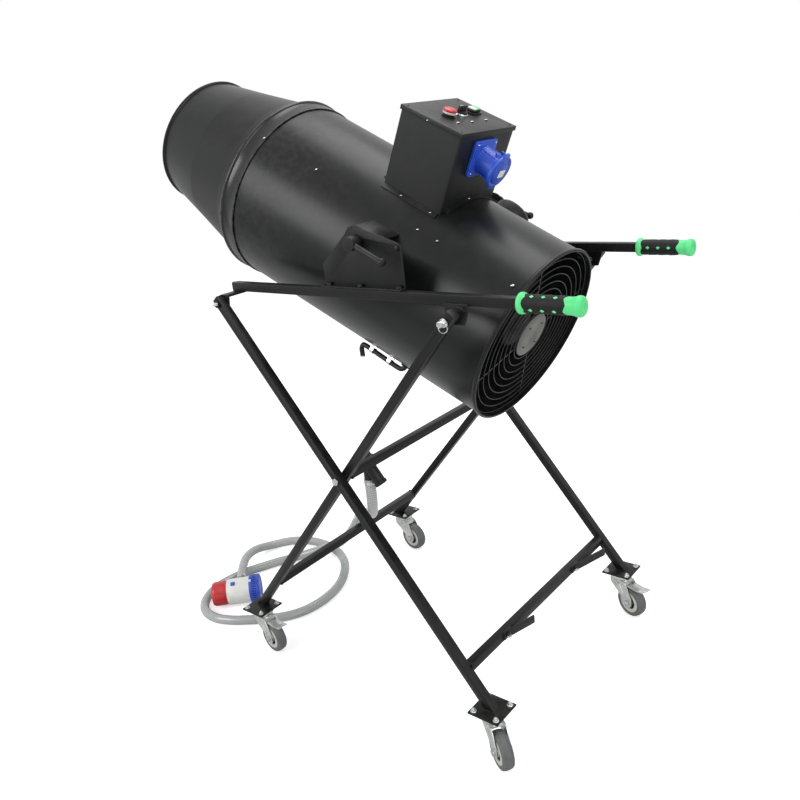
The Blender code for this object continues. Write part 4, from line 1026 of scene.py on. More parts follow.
def makeFeed():
    turn = feedLook["turn"]
    standOff = drumRadius(0) + feedLook["standOff"]
    bend = feedPoint(-0.038, standOff)
    hanging = Vector((math.sin(barrel["elevation"]), 0, -math.cos(barrel["elevation"])))
    inside = (hanging + Vector((1, 0, 0))).normalized() * 0.009
    route = [bend + hanging * down for down in (0.036, 0.028, 0.016)]
    route += [bend + inside, bend + Vector((0.016, 0, 0))]
    route += [feedPoint(x, reach) for x, reach in (
        (0.030, standOff), (turn - 0.016, standOff), (turn - 0.004, standOff - 0.004),
        (turn, drumRadius(turn)), (turn, 0.170), (turn, 0.1453),
    )]
    pipe = inDrum(tube(smoothRoute(route, 6), feedLook["radius"], 20))
    piece("feed_pipe_drawn", pipe, "blackShell", "barrel", ("feed_pipe",))

    # the open end shows its bore and a ribbed tail for the short hose; two saddle clips hold the pipe
    tail = [(0.0362, 0.0060), (0.0362, 0.0043), (0.0330, 0.0043), (0.0330, 0.0061), (0.0345, 0.0064)]
    shapes = [placed(lathe(tail, 24, True), bend, turn=turnTo(hanging, (1, 0, 0)))]
    out = Vector(feedLook["side"]).normalized()
    sideways = out.cross(Vector((1, 0, 0))).normalized()
    radius = feedLook["clipRadius"]
    for x in feedLook["clips"]:
        foot = feedPoint(x, drumRadius(x) + 0.0008)
        arc = [foot + sideways * 0.020, foot + sideways * 0.0078]
        for i in range(13):
            a = math.radians(-10 + 200 * i / 12)
            middle = Vector((x, 0, 0)) + out * (standOff + radius * math.sin(a))
            arc.append(middle + sideways * (radius * math.cos(a)))
        arc += [foot - sideways * 0.0078, foot - sideways * 0.020]
        shapes.append(strap(arc, Vector((1, 0, 0)), 0.010, 0.0010))
    piece("feed_pipe_clips", inDrum(gathered(*shapes)), "zincPlate", "barrel")
    hole = [(-0.002, 0.0070), (-0.002, 0.0092), (0.0022, 0.0125), (0.0035, 0.0115), (0.0035, 0.0066)]
    grommet = placed(lathe(hole, 28, True), feedPoint(turn, drumRadius(turn)), turn=turnTo(out, (1, 0, 0)))
    piece("feed_grommet", inDrum(grommet), "gripRubber", "barrel")


# the band's bright edge colour paints a highlight line along its beads, as well as some wear
finishes["bandSatin"] = coated("bandSatin", "black_satin_sheet", {
    "colour": (0.0046, 0.0050, 0.0052), "shade": (0.0062, 0.0064, 0.0064), "wornAndHighlight": (0.22, 0.22, 0.21),
    "grain": 0.0015, "patch": 0.12, "rough": (0.24, 0.29), "wearAndHighlight": 0.35, "dust": 0.03, "bump": 0.10,
    "plain": {"Specular IOR Level": 0.35},
})
makeBarrelSkins()
makeGuard()
makeFan()
makeNet()
makeFeed()
print("barrel, guard, fan, net and feed pipe made")

# control box, in the drum's frame
boxLook = {
    "low": (-0.0885, -0.1005), "high": (0.0710, 0.0945), "top": 0.3576, "sheet": 0.0015, "corner": 0.0030,
    "footWidth": 0.0115, "seat": 0.3603, "lamps": ((0.024, -0.054), (0.028, -0.009), (0.028, 0.043)),
    "lidScrewX": -0.0167,
}


def boxLoop(inset, count=9):
    # the box's outline in (x, y), its corners rounded, with points along each side
    (x0, y0), (x1, y1) = boxLook["low"], boxLook["high"]
    x0, y0, x1, y1 = x0 + inset, y0 + inset, x1 - inset, y1 - inset
    radius = max(boxLook["corner"] - inset, 0.0008)
    loop = []
    for centre, start in (
        ((x1 - radius, y1 - radius), 0), ((x0 + radius, y1 - radius), 90),
        ((x0 + radius, y0 + radius), 180), ((x1 - radius, y0 + radius), 270),
    ):
        for i in range(5):
            a = math.radians(start + 22.5 * i)
            loop.append(Vector((centre[0] + radius * math.cos(a), centre[1] + radius * math.sin(a))))
    filled = []
    for here, after in zip(loop, loop[1:] + loop[:1]):
        steps = count if (after - here).length > 0.02 else 1
        filled += [here.lerp(after, k / steps) for k in range(steps)]
    return filled


def overDrum(x, y, lift):
    return math.sqrt((drumRadius(x) + lift) ** 2 - y * y)


def drumStrip(low, high, steps, lift=0.0009, thick=0.0018):
    # a flat foot that lies on the drum between two (x, y) corners
    bm = bmesh.new()
    layers = []
    for level in (lift, lift + thick):
        rows = []
        for i in range(steps[0] + 1):
            x = low[0] + (high[0] - low[0]) * i / steps[0]
            ys = [low[1] + (high[1] - low[1]) * j / steps[1] for j in range(steps[1] + 1)]
            rows.append([bm.verts.new((x, y, overDrum(x, y, level))) for y in ys])
        layers.append(rows)
    return slab(bm, *layers)


def makeControlBox():
    bm = bmesh.new()
    rings = []
    for inset, low in ((0.0, True), (0.0, False), (boxLook["sheet"], False), (boxLook["sheet"], True)):
        ring = []
        for spot in boxLoop(inset):
            height = overDrum(spot.x, spot.y, 0.0008) if low else boxLook["top"]
            ring.append(bm.verts.new((spot.x, spot.y, height)))
        rings.append(ring)
    joinRings(bm, rings, closed=True)
    (x0, y0), (x1, y1) = boxLook["low"], boxLook["high"]
    width = boxLook["footWidth"]
    feet = [
        drumStrip((x0 + 0.004, y0 - width), (x1 - 0.004, y0 + 0.001), (10, 2)),
        drumStrip((x0 + 0.004, y1 - 0.001), (x1 - 0.004, y1 + width), (10, 2)),
        drumStrip((x0 - width, y0 + 0.012), (x0 + 0.001, y1 - 0.012), (2, 14)),
        drumStrip((x1 - 0.001, y0 + 0.012), (x1 + width, y1 - 0.012), (2, 14)),
    ]
    box = inDrum(gathered(bm, *feet))
    piece("control_box_folded", box, "boxSatin", "barrel", ("control_box",), 30)

    places = []
    for x, y in ((-0.030, y0 - 0.006), (0.052, y0 - 0.006), (-0.030, y1 + 0.006), (0.052, y1 + 0.006),
                 (x1 + 0.006, -0.014), (x0 - 0.006, -0.014)):
        angle = -math.asin(y / drumRadius(x))
        spot, out = onDrum(x, angle, 0.0027)
        places.append((spot, out, x * 40, 0.85))
    for y, sign in ((y0, -1), (y1, 1)):
        places.append((Vector((boxLook["lidScrewX"], y + sign * 0.0025, 0.3535)), (0, sign, 0), 0.4, 0.8))
    copies("box_screws", domeScrew(), places, "bareSteel", "barrel", drumFrame)

    softened("box_lid", "boxSatin", "barrel", 0.0008, 3, 55, "box_lid_folded")
    seat = boxLook["seat"]
    lamp = lathe([(0, 0), (0, 0.0042), (0.0006, 0.0044), (0.0012, 0.0036), (0.0020, 0.0024), (0.0023, 0)], 20)
    lamp = placed(lamp, turn=xToZ)
    places = [(Vector((x, y, seat - 0.0003)), (0, 0, 1)) for x, y in boxLook["lamps"]]
    copies("lid_lamps", lamp, places, "lampLens", "barrel", drumFrame)
    places = [(Vector((x, y, seat - 0.0003)), (0, 0, 1), x * 30 + y, 0.8)
              for x in (-0.080, 0.0625) for y in (-0.092, 0.086)]
    copies("lid_screws", domeScrew(0.0030, 0.0014), places, "blackShell", "barrel", drumFrame)


controls = {"x": -0.0115, "stop": -0.040, "selector": 0.004, "start": 0.049}


def onLid(bm, place):
    return moved(bm, drumFrame @ Matrix.Translation((controls["x"], controls[place], 0)))


def lidRound(place, profile, steps=40, closed=False):
    # heights above the lid and radii, turned about the middle of one control
    return onLid(moved(lathe(shifted(profile, boxLook["seat"]), steps, closed), xToZ), place)


def lidBlock(place, halfX, ys, heights, radius, steps=2):
    low, high = (boxLook["seat"] + height for height in heights)
    return onLid(roundBlock((-halfX, ys[0], low), (halfX, ys[1], high), radius, steps), place)


def makeControls():
    sunk = -0.016
    base = [(-0.0002, 0.0095), (-0.0002, 0.0150), (0.0007, 0.0150), (0.0010, 0.0147), (0.0010, 0.0122)]
    base += [(0.0044, 0.0122), (0.0046, 0.0120), (0.0046, 0.0095)]
    piece("stop_base", lidRound("stop", base, closed=True), "blackShell", "barrel")
    collar = [(0.0052, 0.0127), (0.0052, 0.0138), (0.0058, 0.0146), (0.0088, 0.0147), (0.0096, 0.0142)]
    collar += [(0.0096, 0.0127)]
    piece("stop_collar", lidRound("stop", collar, closed=True), "creamRim", "stop_button")
    cap = [(sunk, 0), (sunk, 0.0080), (0.0051, 0.0080), (0.0051, 0.0088), (0.0097, 0.0088), (0.0097, 0.0136)]
    cap += [(0.0108, 0.0145), (0.0126, 0.0146), (0.0140, 0.0138), (0.0156, 0.0100), (0.0162, 0.0050)]
    cap += [(0.0164, 0)]
    piece("stop_cap", lidRound("stop", cap), "redShell", "stop_button", ("stop_button",))

    bezel = [(-0.0002, 0.0098), (-0.0002, 0.0152), (0.0020, 0.0152), (0.0034, 0.0142), (0.0034, 0.0138)]
    bezel += [(0.0020, 0.0136), (0.0020, 0.0098)]
    piece("selector_bezel", lidRound("selector", bezel, closed=True), "bareSteel", "barrel")
    body = [(sunk, 0), (sunk, 0.0085), (0.0004, 0.0085), (0.0022, 0.0088), (0.0022, 0.0130), (0.0060, 0.0126)]
    body += [(0.0072, 0.0114), (0.0072, 0)]
    handle = lidBlock("selector", 0.0036, (-0.0122, 0.0122), (0.0040, 0.0188), 0.0016, 3)
    knob = gathered(lidRound("selector", body), handle)
    piece("selector_handle", knob, "blackShell", "selector_knob", ("selector_knob",))
    line = lidBlock("selector", 0.0005, (-0.0112, -0.0010), (0.0186, 0.0190), 0.0001, 1)
    piece("selector_line", line, "whiteShell", "selector_knob")

    rim = lidBlock("start", 0.0128, (-0.0150, 0.0150), (-0.0002, 0.0028), 0.0010)
    piece("start_frame", rim, "blackShell", "barrel")
    body = lidBlock("start", 0.0100, (-0.0120, 0.0120), (0.0030, 0.0090), 0.0012, 3)
    stem = lidRound("start", [(sunk, 0), (sunk, 0.0085), (0.0032, 0.0085), (0.0032, 0)], 24)
    piece("start_body", gathered(body, stem), "blackShell", "start_switch", ("start_switch",))
    for name, ys, finish in (
        ("start_key", (-0.0112, 0.0), "whiteShell"), ("run_key", (0.0004, 0.0112), "gripGreen"),
    ):
        piece(name, lidBlock("start", 0.0092, ys, (0.0086, 0.0118), 0.0008), finish, "start_switch")


inletLook = {
    "face": 0.0713, "y": -0.010, "z": 0.303, "droop": math.radians(10), "radius": 0.029, "length": 0.048,
    "pinCircle": 0.013,
}


def makeInlet():
    face, y, z = inletLook["face"], inletLook["y"], inletLook["z"]
    onFace = Matrix.Translation((face, y, z)) @ zToX
    flange = moved(plate(roundCorners(rectangle(0.038, 0.039), 0.006), 0, 0.0078, 0.0012, 3), onFace)
    pad = moved(plate(roundCorners(rectangle(0.033, 0.034), 0.008), 0.006, 0.0095, 0.001), onFace)
    outer, length = inletLook["radius"], inletLook["length"]
    body = [(0.002, 0), (0.002, outer + 0.001), (0.012, outer + 0.0004), (0.016, outer)]
    body += [(length - 0.006, outer), (length - 0.0055, outer + 0.0012), (length - 0.001, outer + 0.0012)]
    body += [(length, outer + 0.0004)]
    body += [(length, 0.0250), (length - 0.001, 0.0245), (0.014, 0.0245), (0.014, 0)]
    bodyFrame = Matrix.Translation((face + 0.001, y, z)) @ Matrix.Rotation(inletLook["droop"], 4, "Y")
    shapes = [lathe(body, 72)]
    for ear in (-0.0105, 0.0105):
        shapes.append(roundBlock((0.034, ear - 0.0018, 0.024), (0.0475, ear + 0.0018, 0.0345), 0.0008))
    for degrees in (35, -35, 145, -145):
        low, high = (0.006, -0.0012, outer - 0.0006), (length - 0.008, 0.0012, outer + 0.0014)
        shapes.append(placed(roundBlock(low, high, 0.0005, 1), turn=turned(degrees)))
    shell = gathered(flange, pad, moved(gathered(*shapes), bodyFrame))
    piece("power_inlet_shell", inDrum(shell), "blueShell", "barrel", ("power_inlet",))
    places = [(Vector((face + 0.0078, y + a * 0.0315, z + b * 0.0305)), (1, 0, 0), a + 0.3 * b, 1.0)
              for a in (-1, 1) for b in (-1, 1)]
    copies("inlet_screws", domeScrew(0.0034, 0.0020), places, "bareSteel", "barrel", drumFrame)
    pins = []
    away = inletLook["pinCircle"]
    for degrees in (30, 150, 270):
        pin = lathe([(0.014, 0), (0.014, 0.0028), (0.038, 0.0028), (0.0395, 0.0018), (0.0398, 0)], 16)
        a = math.radians(degrees)
        pins.append(placed(pin, (0, away * math.cos(a), away * math.sin(a))))
    piece("inlet_pins", inDrum(moved(gathered(*pins), bodyFrame)), "bareSteel", "barrel")

    # the lid: a shallow dish with a raised middle, a thumb tab, its hinge knuckle and a blank white patch
    hinge = bodyFrame @ Vector((length + 0.0003, 0, 0.036))
    lidFrame = Matrix.Translation(hinge) @ Matrix.Rotation(inletLook["droop"], 4, "Y")
    dish = [(0, 0), (0, 0.0338), (0.0008, 0.0350), (0.0030, 0.0364), (0.0052, 0.0364), (0.0072, 0.0356)]
    dish += [(0.0080, 0.0340), (0.0080, 0.0300), (0.0074, 0.0290), (0.0074, 0.0262), (0.0090, 0.0250)]
    dish += [(0.0098, 0.0235), (0.0098, 0)]
    lid = placed(lathe(dish, 72), (0, 0, -0.038))
    knuckle = lathe([(-0.0078, 0), (-0.0078, 0.0046), (0.0078, 0.0046), (0.0078, 0)], 24)
    knuckle = placed(knuckle, (0.0040, 0, 0.0), turn=xToY)
    arm = roundBlock((0.0006, -0.0085, -0.0120), (0.0076, 0.0085, 0.0012), 0.0012)
    tab = roundBlock((0.0020, -0.0080, -0.0788), (0.0062, 0.0080, -0.0715), 0.0012)
    lid = moved(gathered(lid, knuckle, arm, tab), drumFrame @ lidFrame)
    piece("inlet_lid_moulded", lid, "blueShell", "inlet_lid", ("inlet_lid",))
    patch = plate(roundCorners(rectangle(0.0085, 0.0105), 0.0012), 0, 0.0003, 0)
    onLidFace = lidFrame @ Matrix.Translation((0.0098, 0.005, -0.040)) @ zToX
    piece("inlet_lid_patch", moved(patch, drumFrame @ onLidFace), "whiteShell", "inlet_lid")


def makeBarrelFittings():
    softened("terminal_cover", "blackShell", "barrel", 0.0012, 3, 30, "terminal_cover_moulded")
    for name in sides:
        softened(f"drum_lug_{name}", "barrelSatin", "barrel", 0.0010, 3, 45)


makeControlBox()
makeControls()
makeInlet()
makeBarrelFittings()
print("control box, controls and power inlet made")

# stand: every tube and plate is the model's own, with softened edges, then welds, caps and bolts are added
stand = {
    "pivot": (0.060, 0.5955), "outerY": 0.324, "innerY": 0.301, "half": 0.010, "outerTop": 0.9985,
    "innerTop": 0.9965, "outerLean": math.radians(38.05), "innerLean": math.radians(40.65),
    "plateTop": 0.1245, "plateUnder": 0.1177, "boltReach": 0.0285, "rearBar": (0.3672, 0.203),
    "frontBar": (-0.2689, 0.2125), "hinge": (-0.246, 0.9865), "latch": (0.3914, 0.9815),
    "capDepth": 0.0016, "plugHalf": 0.0080, "weldOff": 0.0006,
}
standParts = (
    ("outer_leg", "outer_frame", 0.0013, 3), ("inner_leg", "inner_frame", 0.0013, 3),
    ("strap_hook", "outer_frame", 0.0009, 2), ("side_rail", "rails", 0.0013, 3),
    ("hinge_bracket", "rails", 0.0007, 2), ("trunnion_plate", "rails", 0.0007, 2),
)
feet = {"front": (-0.335, 0.312), "rear": (0.4265, 0.322)}
frameBody = {"front": "inner_frame", "rear": "outer_frame"}
rail = {"y": 0.2626, "z": 1.0142, "rear": 0.630, "gripStarts": {"near": 0.528, "far": 0.517}}


def legX(side, z):
    lean = stand["outerLean"] if side < 0 else stand["innerLean"]
    return stand["pivot"][0] + side * (z - stand["pivot"][1]) * math.tan(lean)


def weldPlaces(corners, out, pitch=0.0024):
    # points along a closed outline, each facing out of the joint
    places = []
    for start, stop in zip(corners, corners[1:] + corners[:1]):
        start, stop = Vector(start), Vector(stop)
        count = max(2, round((stop - start).length / pitch))
        for i in range(count):
            places.append((start.lerp(stop, i / count), out, 0.3 * i, 0.9 + 0.2 * math.sin(2.3 * i)))
    return places


def weldRipple():
    profile = [(-0.0006, 0), (-0.0006, 0.0016), (0.0004, 0.0019), (0.0011, 0.0013), (0.0014, 0)]
    return placed(lathe(profile, 8), turn=xToZ)


def squareAround(centre, across, up, halfAcross, halfUp):
    centre, across, up = Vector(centre), Vector(across), Vector(up)
    return [centre + across * (a * halfAcross) + up * (b * halfUp) for a, b in squareSigns]


def crossWelds(sign, legY, spots):
    # beads round the ends of cross tubes, against the inner face of a leg
    y = sign * (legY - stand["half"] - stand["weldOff"])
    places = []
    for x, z in spots:
        square = squareAround((x, y, z), (1, 0, 0), (0, 0, 1), stand["half"], stand["half"])
        places += weldPlaces(square, (0, -sign, 0))
    return places


def legWelds(sign, side, legY, lean):
    z = stand["plateTop"] + 0.0002
    reach = stand["half"] / math.cos(stand[lean])
    square = squareAround((legX(side, z), sign * legY, z), (1, 0, 0), (0, 1, 0), reach, stand["half"])
    return weldPlaces(square, (0, 0, 1))


def makeStand():
    powder = "blackPowder"
    half = stand["half"]
    for name in sides:
        for node, body, edge, steps in standParts:
            softened(f"{node}_{name}", powder, body, edge, steps)
        softened(f"lock_pin_{name}", "bareSteel", f"lock_pin_{name}", 0.0009, 3, 30)
        softened(f"clamp_lever_{name}", "blackShell", f"clamp_lever_{name}", 0.0010, 3, 35)
    softened("rear_cross_bar", powder, "outer_frame", 0.0013, 3)
    softened("front_cross_bar", powder, "inner_frame", 0.0013, 3)
    softened("pivot_tube", powder, "inner_frame", 0.0013, 3)
    softened("pivot_rod", "bareSteel", "outer_frame", 0.0006)

    innerWelds, outerWelds = [], []
    for sign in sides.values():
        innerWelds += legWelds(sign, 1, stand["innerY"], "innerLean")
        outerWelds += legWelds(sign, -1, stand["outerY"], "outerLean")
        innerWelds += crossWelds(sign, stand["innerY"], (stand["pivot"], stand["frontBar"]))
        outerWelds += crossWelds(sign, stand["outerY"], (stand["rearBar"],))
    copies("inner_frame_welds", weldRipple(), innerWelds, powder, "inner_frame")
    copies("outer_frame_welds", weldRipple(), outerWelds, powder, "outer_frame")

    # push-in caps close the leg tops
    for body, side, y, top, lean in (
        ("outer_frame", -1, stand["outerY"], stand["outerTop"], -stand["outerLean"]),
        ("inner_frame", 1, stand["innerY"], stand["innerTop"], stand["innerLean"]),
    ):
        caps = []
        for sign in sides.values():
            cap = roundBlock((-half, -half, 0.0001), (half, half, stand["capDepth"]), 0.0006, 2)
            plug = stand["plugHalf"]
            plug = roundBlock((-plug, -plug, -plug), (plug, plug, 0.0008), 0.0006, 1)
            spot = (legX(side, top), sign * y, top)
            caps += [placed(shape, spot, turn=Matrix.Rotation(lean, 4, "Y")) for shape in (cap, plug)]
        piece(f"{body}_caps", gathered(*caps), "blackShell", body)

    # bolts of the caster plates, hooks and hinges, and the ring of the near lock pin
    for end in ends:
        x, y = feet[end]
        reach = stand["boltReach"]
        tops, heads = [], []
        for sign in sides.values():
            for a in (-1, 1):
                for b in (-1, 1):
                    spot = (x + a * reach, sign * y + b * reach)
                    tops.append((Vector((*spot, stand["plateTop"])), (0, 0, 1), a + 2 * b, 1.0))
                    heads.append((Vector((*spot, stand["plateUnder"])), (0, 0, -1), a - b, 1.0))
        copies(f"{end}_plate_nuts", nutOnStud(0.0056, 0.0042, 0.0030, 0.0085), tops, "zincPlate",
               frameBody[end])
        copies(f"{end}_plate_bolts", hexBolt(0.0050, 0.0030), heads, "zincPlate", frameBody[end])
    hookFace = Vector((1, 0, 0))
    places = [(Vector((stand["rearBar"][0] + 0.0191, y, stand["rearBar"][1])), hookFace, 0.3, 1.0)
              for y in (-0.176, 0.148)]
    copies("hook_bolts", hexBolt(0.0066, 0.0040, 0.0), places, "bareSteel", "outer_frame")
    hingeX, hingeZ = stand["hinge"]
    latchX, latchZ = stand["latch"]
    places = [(Vector((hingeX, sign * 0.3404, hingeZ)), (0, sign, 0), 0.2, 1.0) for sign in sides.values()]
    copies("hinge_nuts", nutOnStud(0.0062, 0.0036, 0.0036, 0.0062), places, "bareSteel", "rails")
    bail = []
    for i in range(28):
        a = 2 * math.pi * i / 28
        y = sides["near"] * (0.3180 + 0.0018 * math.sin(2 * a))
        bail.append(Vector((latchX + 0.0100 * math.cos(a), y, latchZ - 0.0072 + 0.0115 * math.sin(a))))
    piece("lock_pin_ring_near", tube(bail, 0.0009, 8, True), "bareSteel", "lock_pin_near")


# casters, made in the frame of their own swivel
caster = {
    "wheel": 0.0425, "trail": 0.037, "cheekOut": 0.0185, "pedal": (0.030, 0.0915),
    "pedalRibs": (0.044, 0.0485, 0.053, 0.0575), "pedalSlope": 0.196,
    "turns": {("front", "near"): -8, ("front", "far"): -6, ("rear", "near"): -33, ("rear", "far"): -20},
    "braked": (("front", "near"), ("rear", "far")),
}


def aboutY(profile, steps=56, closed=False):
    return placed(lathe(profile, steps, closed), turn=xToY)


def mirrored(half):
    # (along, radius) points of one half, outer face first, and their mirror image
    return half + [(-along, radius) for along, radius in half[::-1]]


def wheelShapes():
    tyre = mirrored([(0.0104, 0.0295), (0.0122, 0.0300), (0.0134, 0.0318), (0.0139, 0.0345), (0.0136, 0.0372),
                     (0.0124, 0.0397), (0.0106, 0.0411), (0.0084, 0.0417), (0.0080, 0.0412), (0.0074, 0.0418),
                     (0.0040, 0.0424), (0.0010, 0.0425)])
    rim = mirrored([(0.0104, 0.0200), (0.0124, 0.0203), (0.0134, 0.0213), (0.0135, 0.0235), (0.0126, 0.0247),
                    (0.0126, 0.0260), (0.0135, 0.0272), (0.0134, 0.0288), (0.0124, 0.0298), (0.0104, 0.0300)])
    web = mirrored([(0.0088, 0.0110), (0.0092, 0.0130), (0.0080, 0.0160), (0.0092, 0.0190), (0.0100, 0.0206)])
    hub = mirrored([(0.0138, 0.0045), (0.0139, 0.0092), (0.0132, 0.0112), (0.0110, 0.0120), (0.0060, 0.0120)])
    return {
        "tyre": (aboutY(tyre, 64, True), "tyreRubber"), "rim": (aboutY(rim, 56, True), "creamRim"),
        "web": (aboutY(web, 48, True), "gripRubber"), "hub": (aboutY(hub, 32, True), "zincPlate"),
    }


def makeCaster(end, name):
    label = f"{end}_{name}"
    x, y = feet[end]
    sign = sides[name]
    swivel = Matrix.Translation((x, sign * y, 0)) @ turned(caster["turns"][end, name], "Z")
    trail, wheel, out = caster["trail"], caster["wheel"], caster["cheekOut"]
    softened(f"caster_base_{label}", "zincPlate", frameBody[end], 0.0005)
    softened(f"caster_fork_{label}", "zincPlate", f"caster_fork_{label}", 0.0008, 2, 34)

    # each cheek has a pressed rib; the axle ends in a nut on one side and a domed head on the other
    shapes = []
    rib = [(-0.0050, 0.0900), (0.0080, 0.0905), (0.0230, 0.0690), (0.0290, 0.0560), (0.0235, 0.0540)]
    rib += [(0.0120, 0.0660)]
    for way, y in ((-1, -(out - 0.0002)), (1, out + 0.0011)):
        cheekRib = plate(roundCorners(rib, 0.0030, 3), 0, 0.0013, 0.0006, 2)
        shapes.append(placed(cheekRib, (0, y, 0), turn=turned(90)))
        collar = lathe([(0, 0), (0, 0.0102), (0.0007, 0.0102), (0.0011, 0.0096), (0.0011, 0)], 28)
        shapes.append(placed(collar, (trail, way * out, wheel), turn=turned(90 * way, "Z")))
    piece(f"caster_fork_ribs_{label}", moved(gathered(*shapes), swivel), "zincPlate", f"caster_fork_{label}")
    nut = placed(nutOnStud(0.0070, 0.0012, 0.0036, 0.0034), (trail, -(out + 0.0033), wheel), (0, -1, 0))
    head = lathe([(0, 0), (0, 0.0064), (0.0010, 0.0060), (0.0020, 0.0040), (0.0023, 0)], 24)
    head = placed(head, (trail, out + 0.0033, wheel), turn=xToY)
    piece(f"caster_axle_{label}", moved(gathered(nut, head), swivel), "bareSteel", f"caster_fork_{label}")

    for part, (bm, finish) in wheelShapes().items():
        moved(bm, swivel @ Matrix.Translation((trail, 0, wheel)))
        stands = (f"caster_wheel_{label}",) if part == "tyre" else ()
        piece(f"caster_{part}_{label}", bm, finish, f"caster_wheel_{label}", stands)

    if (end, name) in caster["braked"]:
        body = f"brake_pedal_{label}"
        softened(body, "zincPlate", body, 0.0006)
        pedalX, pedalZ = caster["pedal"]
        bars = []
        for along in caster["pedalRibs"]:
            level = 0.0006 + (along - trail) * caster["pedalSlope"]
            low, high = (along - 0.0008, -0.0125, level - 0.0006), (along + 0.0008, 0.0125, level + 0.0008)
            bars.append(roundBlock(low, high, 0.0004))
        bars = moved(gathered(*bars), swivel @ Matrix.Translation((pedalX, 0, pedalZ)))
        piece(f"brake_pedal_ribs_{label}", bars, "zincPlate", body)


# grips: a green core under a black sleeve with diamond windows
grip = {
    "length": 0.125, "bore": 0.01450, "sleeve": (0.0085, 0.0965), "radius": 0.0170, "points": 4,
    "zigzag": 0.0060, "diamonds": (0.028, 0.0515, 0.075), "turns": {"near": 29, "far": 84},
}


def gripSleeve(turn):
    # a rubber sleeve with pointed ends, ribbed a little between its diamonds
    around, along = 72, 40
    bm = bmesh.new()
    low, high = grip["sleeve"]
    rings = []
    for outer, order in ((True, range(along + 1)), (False, range(along, -1, -1))):
        radius = grip["radius"] if outer else grip["bore"] + 0.0006
        for i in order:
            t = i / along
            swell = 0.0003 * math.cos(2 * math.pi * 3.5 * t) if outer else 0.0
            edge = 0.0005 if i in (0, along) and outer else 0.0
            ring = []
            for k in range(around):
                a = 2 * math.pi * k / around
                wave = abs((((a - turn) * grip["points"] / (2 * math.pi)) % 1.0) * 2 - 1)
                start = low + grip["zigzag"] * wave
                stop = high - grip["zigzag"] * wave
                reach = radius + swell - edge
                spot = (start + (stop - start) * t, -reach * math.sin(a), reach * math.cos(a))
                ring.append(bm.verts.new(spot))
            rings.append(ring)
    return joinRings(bm, rings, closed=True)


def gripCore(socket):
    end, bore = grip["length"], grip["bore"]
    profile = [(socket, 0), (socket, bore), (0.0, bore), (0.0, 0.0186), (0.0012, 0.0198), (0.0050, 0.0200)]
    profile += [(0.0078, 0.0194), (0.0100, 0.0172), (0.0120, 0.0163), (0.0180, 0.0160), (0.086, 0.0160)]
    profile += [(0.098, 0.0160), (0.103, 0.0160), (0.107, 0.0165), (0.111, 0.0176), (0.114, 0.0187)]
    profile += [(0.117, 0.0190), (0.120, 0.0187), (0.1225, 0.0176), (0.1240, 0.0160)]
    profile += [(end, 0.0140), (end, 0.0070), (end - 0.0010, 0.0060), (end - 0.0010, 0)]
    return lathe(profile, 56)


def makeGrips():
    for name, sign in sides.items():
        start = rail["gripStarts"][name]
        at = Vector((start, sign * rail["y"], rail["z"]))
        core = placed(gripCore(rail["rear"] - start + 0.0004), at)
        piece(f"grip_core_{name}", core, "gripGreen", "rails", (f"grip_{name}",), 50)
        sleeve = placed(gripSleeve(math.radians(grip["turns"][name])), at)
        piece(f"grip_sleeve_{name}", sleeve, "gripRubber", "rails", (), 50)
        diamond = plate([(-0.0046, 0), (0, -0.0034), (0.0046, 0), (0, 0.0034)], -0.0004, 0.0005, 0.0002, 1)
        places = []
        for along in grip["diamonds"]:
            for i in range(grip["points"]):
                a = math.radians(grip["turns"][name] + 360 / grip["points"] * i)
                out = outward(a)
                spot = at + Vector((along, 0, 0)) + out * grip["radius"]
                places.append(placed(diamond.copy(), spot, turn=Matrix.Rotation(a, 4, "X")))
        aligned = gathered(*places)
        diamond.free()
        piece(f"grip_diamonds_{name}", aligned, "gripGreen", "rails")


